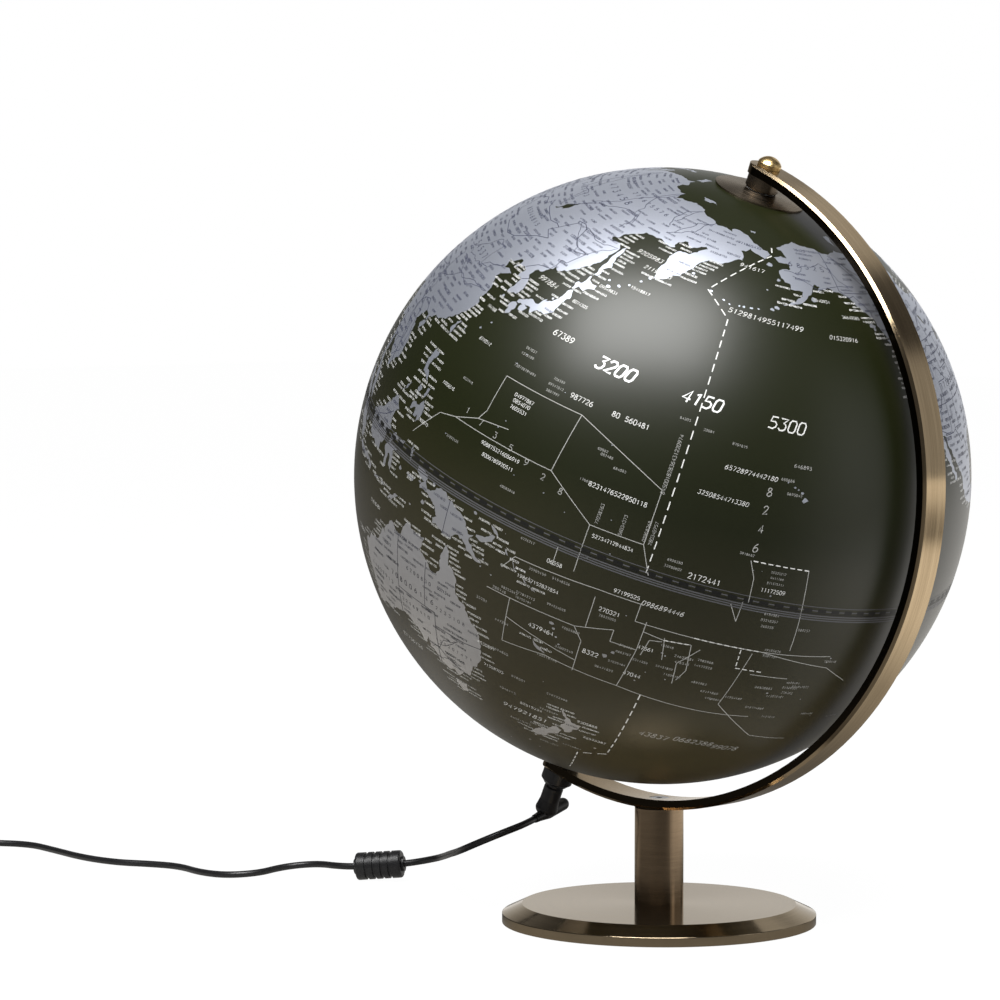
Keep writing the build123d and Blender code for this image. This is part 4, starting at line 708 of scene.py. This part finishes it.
brass_arc = brushed("brushed_brass_arc", (0.52, 0.40, 0.255), (0.36, 0.27, 0.165), 0.17, "arc")
brass_column = brushed("brushed_brass_column", (0.36, 0.265, 0.175), (0.25, 0.18, 0.115), 0.17, "band")
brass_base = brushed("brushed_brass_base", (0.38, 0.30, 0.20), (0.30, 0.235, 0.155), 0.15, "rings", 0.0005)
brass_cap = brushed("brushed_brass_cap", (0.30, 0.245, 0.185), (0.2, 0.16, 0.12), 0.26, "cap", 0.0004)
gold = plain("polished_brass", (0.72, 0.52, 0.24), 0.3, 1.0, 2500, 0.03, 0.08)
bronze = plain("dark_bronze", (0.13, 0.105, 0.08), 0.28, 1.0, 2500, 0.03)
steel = plain("zinc_steel", (0.55, 0.55, 0.56), 0.35, 1.0)
iron = plain("cast_iron", (0.07, 0.07, 0.072), 0.7, 0.6, 1200, 0.3)
felt = plain("black_felt", (0.012, 0.012, 0.012), 0.95, 0.0, 4000, 0.5)
black_plastic = plain("black_moulded_plastic", (0.012, 0.012, 0.013), 0.38, 0.0, 3500, 0.08)
black_lead = plain("black_lead_sheath", (0.010, 0.010, 0.011), 0.36, 0.0, 2500, 0.05)
white_plastic = plain("white_plastic", (0.78, 0.78, 0.76), 0.5)
lamp_metal = plain("satin_aluminium", (0.7, 0.7, 0.71), 0.4, 1.0)
board_white = plain("white_board", (0.8, 0.81, 0.79), 0.35)
phosphor = plain("yellow_phosphor", (0.85, 0.7, 0.15), 0.4)
red_wire = plain("red_wire", (0.4, 0.03, 0.02), 0.4)
sinter = plain("sintered_ferrite", (0.05, 0.05, 0.055), 0.55, 0.4)
# The south colours are partly painted light: the sea's and the land's are lighter and warmer for the floor's bounce
# and reflection on the ball's lower half.
sea_ink = printed("sea_print", (0.0072, 0.0092, 0.0004), (0.047, 0.0375, 0.016), 0.38, 0.0)
land_foil = printed("land_print", (0.485, 0.513, 0.585), (0.70, 0.668, 0.625), 0.45, 0.84)
white_ink = printed("white_print", (0.80, 0.80, 0.79), (0.70, 0.70, 0.67), 0.45, 0.1)
name_ink = printed("name_print", (0.60, 0.60, 0.58), (0.52, 0.51, 0.47), 0.45, 0.1)
grey_ink = printed("grey_print", (0.30, 0.30, 0.285), (0.31, 0.30, 0.27), 0.45, 0.1)
faint_ink = printed("faint_print", (0.068, 0.069, 0.078), (0.072, 0.070, 0.066), 0.45, 0.0)
dark_ink = printed("dark_print", (0.045, 0.05, 0.085), (0.04, 0.038, 0.034), 0.5, 0.0)
black_ink = printed("black_print", (0.006, 0.006, 0.005), (0.007, 0.007, 0.006), 0.5, 0.0)

FINISH = {
    "meridian_arc": brass_arc, "column": brass_column, "base_cover": brass_base, "north_cap": brass_cap,
    "finial_nut": gold, "north_spacer": bronze, "north_collar": bronze, "base_weight": iron, "base_pad": felt,
    "ferrite_core": sinter, "lamp_stem": lamp_metal, "led_board": board_white, "led_chips": phosphor,
    "lamp_leads": red_wire,
}
for name in ("base_bolt", "base_washer", "column_foot_insert", "column_head_insert", "arc_screw", "north_pin",
             "pin_clip", "plug_barrel", "adapter_pins"):
    FINISH[name] = steel
for name in ("south_housing", "jack_nut", "dc_jack", "ferrite_case_top", "ferrite_case_bottom", "adapter_body",
             "adapter_cover", "plug_body", "adapter_relief", "coil_tie"):
    FINISH[name] = black_plastic
for name in ("cord_run_a", "cord_in_ferrite", "cord_run_b", "cord_coil", "cord_run_c"):
    FINISH[name] = black_lead
for name in ("equator_ring", "north_bush", "south_bush", "led_diffuser"):
    FINISH[name] = white_plastic
for name in ("upper_hemisphere", "lower_hemisphere"):
    FINISH[name] = sea_ink
for name, node in frame["nodes"].items():
    node.data.materials.clear()
    node.data.materials.append(FINISH[name])

# ---------------------------------------------------------------- camera
camera_data = bpy.data.cameras.new("camera")
camera_data.lens = 146.8
camera_data.sensor_width = 36
camera = bpy.data.objects.new("camera", camera_data)
camera.location = (1.24873, -1.54669, 0.32369)
VIEW = Vector((-0.65710, 0.75154, -0.05835)).normalized()
camera.rotation_euler = VIEW.to_track_quat("-Z", "Y").to_euler()
bpy.context.scene.collection.objects.link(camera)
bpy.context.scene.camera = camera

# ---------------------------------------------------------------- lead
LEAD_DIAMETER = 3.5
HANGING_ROUTE = [
    (-72.7, -9.0, 45.4), (-70.3, -18.9, 44.1), (-73.5, -30.3, 41.1), (-82.2, -37.4, 36.5),
    (-94.9, -37.9, 31.1), (-109.8, -26.6, 27.0), (-127.0, -11.5, 22.9), (-143.5, 3.6, 18.8),
    (-156.0, 15.1, 15.8), (-164.6, 19.6, 13.5), (-174.1, 19.5, 11.2), (-182.3, 15.1, 9.5),
]
IN_FERRITE = [(-190.9, 10.1, 8.6), (-197.8, 6.1, 8.0)]
TABLE_ROUTE = [
    (-206.4, 1.1, 7.1), (-215.8, -2.0, 6.9), (-229.3, 0.2, 6.4), (-239.9, -4.2, 5.4),
    (-246.6, -13.8, 4.2), (-247.2, -28.5, 3.0), (-258.6, -40.9, 2.1), (-278.2, -41.1, 1.75),
    (-301.9, -32.8, 1.75), (-321.3, -37.9, 1.75), (-337.0, -45.2, 1.75), (-363.2, -45.3, 1.75),
    (-398.0, -35.8, 1.75), (-423.9, -29.5, 1.75), (-446.1, -42.8, 1.9), (-463.5, -56.2, 2.75),
]
ADAPTER_ROUTE = [(-465.8, -91.8, 9.75), (-455.3, -102.5, 10.4), (-443.1, -112.9, 11.0), (-432.5, -123.5, 11.0)]
COIL_CENTRE = (-449.0, -75.0)
# Radius and height of each turn of the coil.
TURN_SLOTS = [
    (23.75, 2.75), (20.25, 2.75), (16.75, 2.75),
    (16.75, 6.25), (20.25, 6.25), (23.75, 6.25),
    (20.25, 9.75), (23.75, 9.75),
]
COIL_START, COIL_END, COIL_STEPS = 127.7, 225.0, 15


def coil_turns():
    """The wound length: each turn keeps its place in the bundle and crosses to the next in its last quarter."""
    last = len(TURN_SLOTS) - 1
    total = 360 * last + COIL_END - COIL_START
    count = round(total / 360 * COIL_STEPS)
    turns = []
    for i in range(1, count):
        travelled = total * i / count
        turn, share = divmod(travelled / 360, 1)
        cross = max(0.0, (share - 0.75) / 0.25)
        cross = cross * cross * (3 - 2 * cross)
        here, after = TURN_SLOTS[int(turn)], TURN_SLOTS[min(int(turn) + 1, last)]
        radius, height = (a + (b - a) * cross for a, b in zip(here, after))
        angle = math.radians(COIL_START + travelled)
        x, y = (centre + radius * way(angle) for centre, way in zip(COIL_CENTRE, (math.cos, math.sin)))
        turns.append((x, y, height))
    return turns


curve = bpy.data.curves.new("lead", "CURVE")
curve.dimensions = "3D"
spline = curve.splines.new("NURBS")
route = HANGING_ROUTE + IN_FERRITE + TABLE_ROUTE + coil_turns() + ADAPTER_ROUTE
spline.points.add(len(route) - 1)
for point, place in zip(spline.points, route):
    point.co = (*(c * MM for c in place), 1)
spline.order_u = 3
spline.use_endpoint_u = True
spline.resolution_u = 8
curve.bevel_depth = LEAD_DIAMETER / 2 * MM
curve.bevel_resolution = 5
curve.use_fill_caps = True
lead = bpy.data.objects.new("lead", curve)
bpy.context.scene.collection.objects.link(lead)
lead.data.materials.append(black_lead)
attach(lead, "stand")
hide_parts("cord_run_a", "cord_in_ferrite", "cord_run_b", "cord_coil", "cord_run_c")

# ---------------------------------------------------------------- ball
def flat_loop(points):
    return [on_map(*p) for p in points]


def hole_ring(radius, side):
    """The round hole at a pole on the flat map. side is 1 at the north pole and -1 at the south pole."""
    lat = math.degrees(math.acos(radius / RADIUS)) * side
    return flat_loop([(360 * i / HOLE_SIDES, lat) for i in range(HOLE_SIDES)])


def within(loop, spots):
    """Which of the flat spots lie inside a closed flat outline, by how often it winds round each."""
    xs, ys = spots[:, 0], spots[:, 1]
    corners = numpy.array([tuple(p) for p in loop])
    low, high = corners.min(axis=0), corners.max(axis=0)
    near = numpy.nonzero((xs > low[0]) & (xs < high[0]) & (ys > low[1]) & (ys < high[1]))[0]
    x, y = xs[near], ys[near]
    turns = numpy.zeros(len(near), dtype=int)
    for (ax, ay), (bx, by) in zip(corners, numpy.roll(corners, -1, axis=0)):
        left = (bx - ax) * (y - ay) - (x - ax) * (by - ay)
        turns += (ay <= y) & (by > y) & (left > 0)
        turns -= (ay > y) & (by <= y) & (left < 0)
    inside = numpy.zeros(len(spots), dtype=bool)
    inside[near[turns != 0]] = True
    return inside


COASTS = coasts_of(LAND)
LAND_SHORES = [flat_loop(rough_coast(points)) for points in COASTS]
LAND_SHORES += [flat_loop(islet_shore(*islet)) for islet in groups(ISLETS, 3)]
LAKE_SHORES = [flat_loop(rough_coast(points)) for points in coasts_of(INLAND_WATER)]
ICE_SHORE = flat_loop(rough_coast(groups(ICE, 2)))


def is_ground(spots):
    """Which of the flat spots are land rather than water."""
    ground = ~within(ICE_SHORE, spots)
    for shore in LAND_SHORES:
        ground |= within(shore, spots)
    for shore in LAKE_SHORES:
        ground &= ~within(shore, spots)
    return ground


def build_ball():
    """The ball's printed shell: its vertices, its faces split along the coasts, and which faces are land."""
    north_ring, south_ring = hole_ring(NORTH_HOLE, 1), hole_ring(SOUTH_HOLE, -1)
    places, sides = [], []
    for ring in [north_ring, south_ring, ICE_SHORE] + LAND_SHORES + LAKE_SHORES:
        first = len(places)
        places += ring
        sides += [(first + i, first + (i + 1) % len(ring)) for i in range(len(ring))]
    count = int(4 * math.pi * RADIUS**2 / GRID_SPACING**2)
    for i in range(count):
        lat = math.degrees(math.asin(1 - 2 * (i + 0.5) / count))
        if GRID_SOUTH < lat < GRID_NORTH:
            places.append(on_map((i * GOLDEN_TURN) % 360 - 180, lat))
    found, _, faces, _, _, _ = delaunay_2d_cdt(places, sides, [], 0, 1e-7)
    reach = [spot.length for spot in found]
    inner, outer = north_ring[0].length * 1.001, south_ring[0].length * 0.999
    faces = [f for f in faces if max(reach[i] for i in f) >= inner and min(reach[i] for i in f) <= outer]
    middles = numpy.array([tuple(sum((found[i] for i in f), Vector((0, 0))) / len(f)) for f in faces])
    return [on_ball(*off_map(p)) for p in found], faces, is_ground(middles)


def ball_piece(name, vertices, faces, materials):
    """A mesh that turns with the ball and is shaded as a true sphere."""
    mesh = bpy.data.meshes.new(name)
    mesh.from_pydata([tuple(v) for v in vertices], [], faces)
    for material in materials:
        mesh.materials.append(material)
    mesh.polygons.foreach_set("use_smooth", [True] * len(mesh.polygons))
    piece = bpy.data.objects.new(name, mesh)
    bpy.context.scene.collection.objects.link(piece)
    mesh.normals_split_custom_set_from_vertices([tuple((v - CENTRE).normalized()) for v in vertices])
    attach(piece, "ball")
    return piece


skin, skin_faces, is_land = build_ball()
ball = ball_piece("printed_ball", skin, skin_faces, [sea_ink, land_foil])
for polygon, land in zip(ball.data.polygons, is_land):
    polygon.material_index = 1 if land else 0
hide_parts("upper_hemisphere", "lower_hemisphere")

# ---------------------------------------------------------------- lines, dashes and figures on the ball
FIGURES = lines_of(FIGURE_STROKES)


class Ink:
    """One printed layer: every stroke of it is a thin patch a hair above the ball."""

    def __init__(self):
        self.vertices, self.faces = [], []

    def stroke(self, places, width):
        """A line of even width, in metres, through longitude and latitude places that are near each other."""
        points = [on_ball(lon, lat, INK_LIFT) for lon, lat in places]
        first, last = len(self.vertices), len(points) - 1
        for i, point in enumerate(points):
            run = points[min(i + 1, last)] - points[max(i - 1, 0)]
            if run.length < 1e-9:
                run = EAST
            across = run.normalized().cross((point - CENTRE).normalized()).normalized() * width / 2
            self.vertices += [point + across, point - across]
        for a in range(first, first + 2 * last, 2):
            self.faces.append((a, a + 2, a + 3, a + 1))

    def line(self, places, width, dash=None):
        """A line between the places, whole or broken into dashes (dash and gap, in degrees). It follows a great
        circle, or the parallel where both ends have one latitude."""
        for start, end in zip(places, places[1:]):
            gap = lon_gap(start[0], end[0])
            reach = max(apart(start, end), 0.01)
            level = abs(start[1] - end[1]) < 0.01

            def at(share):
                if level:
                    return (start[0] + gap * share, start[1])
                a, b = on_ball(*start) - CENTRE, on_ball(*end) - CENTRE
                spot = a.lerp(b, share).normalized()
                turn = math.degrees(math.atan2(spot.dot(EAST), spot.dot(NOON)))
                return (turn + MERIDIAN_LONGITUDE, math.degrees(math.asin(max(-1, min(1, spot.dot(POLE))))))

            cuts = [(0.0, 1.0)]
            if dash:
                count = max(1, round(reach / sum(dash)))
                cuts = [(i / count, (i + dash[0] / sum(dash)) / count) for i in range(count)]
            for low, high in cuts:
                steps = max(1, math.ceil(reach * (high - low) / 2))
                self.stroke([at(low + (high - low) * i / steps) for i in range(steps + 1)], width)

    def parallel(self, lat, width):
        self.line([(lon, lat) for lon in range(-180, 181, 3)], width)

    def number(self, text, lon, lat, size, weight=0.16, lean=0.0, turn=0.0, spacing=1.0):
        """Plain figures along the parallel, centred on a place. size is their height in metres."""
        unit = size / FIGURE_HEIGHT
        advance = FIGURE_ADVANCE * unit * spacing
        across = -advance * (len(text) - 1) / 2
        tilt = math.radians(turn)
        squeeze = cosine(lat) * DEGREE
        for mark in text:
            places = []
            for x, y in FIGURES[int(mark)]:
                north = (y - FIGURE_HEIGHT / 2) * unit
                east = across + (x - FIGURE_WIDTH / 2 + lean * (y - FIGURE_HEIGHT / 2)) * unit
                east, north = (east * math.cos(tilt) - north * math.sin(tilt),
                               east * math.sin(tilt) + north * math.cos(tilt))
                places.append((lon + east / squeeze, lat + north / DEGREE))
            self.stroke(places, size * weight)
            across += advance


white, name_white, pale, faint, dark, black = (Ink() for _ in range(6))

for ink, table, width, dash in (
    (pale, SEA_LINES, 0.00036, None),
    (name_white, DASHED_SEA_LINES, 0.0005, (0.9, 0.5)),
    (name_white, DATE_LINE, 0.00055, (1.5, 0.9)),
    (dark, BORDERS, 0.00036, None),
):
    for places in lines_of(table):
        ink.line(places, width, dash)
for places in lines_of(RIVERS):
    dark.stroke(rough_coast(places, 1.2, 0.10)[:-1], 0.00028)

# The seam of the two hemispheres, with the equator's printed band: thin lines and a row of black dashes.
faint.parallel(1.15, 0.00035)
for lat in (-0.5, -0.92, -1.34):
    faint.parallel(lat, 0.0006)
black.parallel(-0.12, 0.0005)
DASH_LATITUDE, DASH_PITCH = 0.42, 3
for lon in range(0, 360, DASH_PITCH):
    black.line([(lon, DASH_LATITUDE), (lon + 1.7, DASH_LATITUDE)], 0.0019)
    faint.line([(lon + 1.75, DASH_LATITUDE), (lon + 2.95, DASH_LATITUDE)], 0.0005)

# Figures. Depths and heights stand where a map has its names: rows near the shores, denser on land.
white.number("3200", 161, 31.8, 0.0060, 0.18, SLANT)
white.number("4150", 180, 32, 0.0058, 0.15, SLANT)
name_white.number("5300", -161.5, 31.8, 0.0056, 0.12, SLANT)
for mark, lat in zip("8246", (19.8, 16.6, 13.2, 9.8)):
    pale.number(mark, -162.8, lat, 0.0036, 0.12, SLANT, 15)
for mark, lon, lat in zip("1735928", range(137, 162, 4), (13.2, 12.6, 12, 11.4, 10.4, 9.4, 8.4)):
    pale.number(mark, lon, lat, 0.0028, 0.12)

# Where rows already stand: longitude, latitude, half the width and half the height, in degrees.
taken = [(lon, lat, 7, 2.4) for lon, lat in ((161, 31.8), (180, 32), (-161.5, 31.8))]


def figures(count):
    return "".join(rng.choice("0123456789") for _ in range(int(count)))


def half_width(count, size, lat, spacing=1.0):
    """Half the length of a row of figures, in degrees of longitude."""
    return count * size * HALF_STEP * spacing / (DEGREE * cosine(lat))


def place_rows(ink, table, weight, lean, spacing, shrink):
    for lon, lat, count, height in groups(table, 4):
        size = height * shrink * MM
        ink.number(figures(count), lon, lat, size, weight, lean, spacing=spacing)
        taken.append((lon, lat, half_width(count, size, lat, spacing), size / DEGREE * 0.6))


place_rows(name_white, UPRIGHT_WHITE, 0.14, 0.0, 1.04, 0.82)
place_rows(pale, SMALL_PALE, 0.16, 0.0, 1.2, 0.7)
place_rows(name_white, LEANING_WHITE, 0.12, SLANT, 1.1, 1.0)
place_rows(pale, LEANING_PALE, 0.12, SLANT, 1.1, 1.0)
place_rows(dark, LARGE_DARK, 0.15, 0.0, 1.9, 0.9)
for lon, lat, count, height in groups(CLIMBING_PALE, 4):
    pale.number(figures(count), lon, lat, height * MM, 0.13, turn=90)
    taken.append((lon, lat, 1.2, count * height * MM * 0.4 / DEGREE))


def is_taken(lon, lat, half):
    return any(abs(lon_gap(lon, x)) < half + reach and abs(lat - y) < rise + 0.7 for x, y, reach, rise in taken)


def ground_under(places):
    """For runs of five places each: which of the five are land."""
    return is_ground(numpy.array([tuple(on_map(*place)) for place in places])).reshape(-1, 5)


def land_rows():
    """Close rows of small dark figures over all the land."""
    south, north, row_gap, column_gap = -54.0, 78, 1.3, 5.4
    wanted = []
    lat = south
    while lat < north:
        gap = column_gap / max(0.25, cosine(lat))
        lon = -180 + rng.uniform(0, gap)
        while lon < 180:
            size = rng.choice((0.0009, 0.0010, 0.0010, 0.0011, 0.0011, 0.0015))
            count = rng.choice((5, 6, 7, 8, 9, 10))
            wanted.append((lon + rng.uniform(-1.5, 1.5), lat + rng.uniform(-0.3, 0.3), size, count))
            lon += gap * rng.uniform(0.55, 1.1)
        lat += row_gap
    places = [(lon + half_width(count, size, lat) * k, lat)
              for lon, lat, size, count in wanted for k in (-1, -0.5, 0, 0.5, 1)]
    for (lon, lat, size, count), ground in zip(wanted, ground_under(places).all(axis=1)):
        if ground and not is_taken(lon, lat, half_width(count, size, lat)):
            dark.number(figures(count), lon, lat, size, 0.2)


def shore_rows():
    """Rows of small figures that start at a coast and run out over the water, white in the north of the Pacific
    and dimmer elsewhere."""
    wanted = []
    for corners in COASTS:
        for (lon, lat), (lon2, lat2) in zip(corners, corners[1:] + corners[:1]):
            steps = max(1, round(apart((lon, lat), (lon2, lat2))))
            for i in range(steps):
                place = (lon + lon_gap(lon, lon2) * i / steps, lat + (lat2 - lat) * i / steps)
                for way in (-1, 1):
                    count, size = rng.choice((6, 7, 8, 9, 10, 11)), rng.choice((0.0009, 0.0009, 0.0010))
                    wanted.append((*place, way, count, size))
    places = [(lon + way * (0.0007 + count * size * 2 * HALF_STEP * k) / (DEGREE * cosine(lat)), lat)
              for lon, lat, way, count, size in wanted for k in (0, 0.25, 0.5, 0.75, 1)]
    for (lon, lat, way, count, size), over_land in zip(wanted, ground_under(places).any(axis=1)):
        half = half_width(count, size, lat)
        middle = lon + way * (half + 0.0006 / DEGREE)
        if over_land or abs(lat) < 1.8 or lat > 61 or is_taken(middle, lat, half):
            continue
        white_from = -8 if lon % 360 > 155 else 24
        ink = white if lat > white_from else name_white
        ink.number(figures(count), middle, lat, size, 0.18)
        taken.append((middle, lat, half, 0))


land_rows()
shore_rows()
for ink, name, material in (
    (white, "print_white", white_ink), (name_white, "print_names", name_ink), (faint, "print_faint", faint_ink),
    (pale, "print_pale", grey_ink), (dark, "print_dark", dark_ink), (black, "print_black", black_ink),
):
    ball_piece(name, ink.vertices, ink.faces, [material])

# ---------------------------------------------------------------- light
scene = bpy.context.scene
scene.view_settings.view_transform = "Standard"
BACK = Vector((VIEW.x, VIEW.y, 0)).normalized()
SIDE = Vector((BACK.y, -BACK.x, 0))
UP = SIDE.cross(VIEW).normalized()


def lamp(name, right, up, toward, distance, width, height, watts):
    """A soft box in a direction from the ball, given along the camera's right, up and backward axes."""
    direction = (SIDE * right + UP * up - VIEW * toward).normalized()
    data = bpy.data.lights.new(name, "AREA")
    data.shape = "RECTANGLE"
    data.size, data.size_y, data.energy = width, height, watts
    light = bpy.data.objects.new(name, data)
    light.location = CENTRE + direction * distance
    light.rotation_euler = (-direction).to_track_quat("-Z", "Y").to_euler()
    scene.collection.objects.link(light)


lamp("key", -0.12, 0.82, 0.56, 1.9, 1.6, 1.15, 74)
lamp("right", 0.9, 0.2, 0.35, 2.0, 0.5, 1.6, 1.4)

# The room. The camera sees plain white. Polished surfaces see a white sweep behind the globe, brightest at the
# horizon, a pale wall on the right, a panel high behind and a dim studio round the camera.
AMBIENT, ROOM_LEVEL, WALL_LEVEL, PANEL_LEVEL = 0.34, 0.07, 0.44, 0.68
PANEL_DIRECTION = BACK * 0.66 + SIDE * 0.47 + Vector((0, 0, 0.585))
world = bpy.data.worlds.new("studio")
scene.world = world
world.use_nodes = True
n = Nodes(world.node_tree)
seen, mirror = n.ray_kinds()
look = n.coordinate("Generated")
back, side, height = n.component(look, BACK), n.component(look, SIDE), n.split(look)[2]
sweep = n.times(n.step_down(height, 0.15, 0.8), n.step_up(side, -0.45, -0.05), n.step_up(back, 0.2, 0.45),
                n.step_down(side, 0.58, 0.7))
horizon = n.plus(n.times(n.step_down(height, 0.02, 0.12), 0.3), 0.9)
wall = n.times(n.step_up(side, 0.75, 0.82), n.step_down(height, 0.385, 0.405))
panel = n.step_up(n.component(look, PANEL_DIRECTION), 0.968, 0.985)
mirrored = n.brightest(n.times(sweep, horizon), n.times(wall, WALL_LEVEL), n.times(panel, PANEL_LEVEL), ROOM_LEVEL)
shown = n.brightest(seen, n.times(mirror, mirrored))
elsewhere = n.times(n.minus(1.0, seen), n.minus(1.0, mirror))
n.feed(world.node_tree.nodes["Background"], {
    "Color": (1, 1, 1, 1),
    "Strength": n.plus(shown, n.times(elsewhere, AMBIENT)),
})

# The floor: white to the camera but for the object's shadow. Polished surfaces see a painted glow on it instead of
# the lit floor: painted pools of light, placed in metres behind and to the right of the base's middle, with a
# painted shadow of the ball round the base and a painted lighter skirt in front of it.
FLOOR_REACH = 8
floor_material, n, bsdf = new_material("pale_floor")
n.feed(bsdf, {"Base Color": (0.7, 0.7, 0.7, 1), "Roughness": 0.9})
seen, mirror = n.ray_kinds()
spot = n.add("NewGeometry").outputs["Position"]
back, side = n.component(spot, BACK), n.component(spot, SIDE)
from_base = n.distance(spot, (0, 0, 0))
# Painted pools of light on the floor, seen only in reflections.
pool = n.step_down(n.distance(spot, BACK * 0.1 + SIDE * 0.5), 0.22, 0.55)
far_white = n.times(n.step_up(back, 0.16, 0.42), n.step_up(side, -0.25, 0.0))
right_half = n.step_up(n.plus(side, n.times(back, 1.17)), -0.012, 0.012)
beside = n.times(right_half, n.minus(1.0, n.times(n.step_up(back, 0.03, 0.10), 0.6)))
near_left = n.times(n.step_down(side, -0.3, -0.05), n.step_up(from_base, 0.12, 0.3))
behind_left = n.step_down(n.distance(spot, BACK * 0.2 - SIDE * 0.24), 0.08, 0.22)
lit = n.times(n.brightest(n.times(pool, 1.05), n.times(far_white, 1.1)), n.step_up(from_base, 0.09, 0.42))
lit = n.brightest(lit, n.times(beside, 0.36), n.times(near_left, 0.1), n.times(behind_left, 0.38))
# Painted shadow of the ball round the base, and a painted lighter skirt in front of the base.
ball_shade = n.plus(n.times(n.step_up(from_base, 0.09, 0.22), 0.6), 0.4)
skirt = n.times(n.step_down(from_base, 0.11, 0.145), n.step_down(back, -0.02, 0.05))
painted_floor_glow = n.add("Emission", {
    "Color": (1.0, 0.97, 0.92, 1),
    "Strength": n.brightest(n.times(n.plus(lit, 0.15), ball_shade), n.times(skirt, 0.34)),
})
glow = n.add("Emission", {"Strength": 1.06})
unseen = n.add("MixShader", {0: mirror, 1: bsdf.outputs[0], 2: painted_floor_glow.outputs[0]})
surface = n.add("MixShader", {0: n.times(seen, 0.92), 1: unseen.outputs[0], 2: glow.outputs[0]})
n.feed(floor_material.node_tree.nodes["Material Output"], {"Surface": surface.outputs[0]})
mesh = bpy.data.meshes.new("floor")
corners = [(-FLOOR_REACH, -FLOOR_REACH, 0), (FLOOR_REACH, -FLOOR_REACH, 0),
           (FLOOR_REACH, FLOOR_REACH, 0), (-FLOOR_REACH, FLOOR_REACH, 0)]
mesh.from_pydata(corners, [], [(0, 1, 2, 3)])
mesh.materials.append(floor_material)
floor = bpy.data.objects.new("floor", mesh)
scene.collection.objects.link(floor)
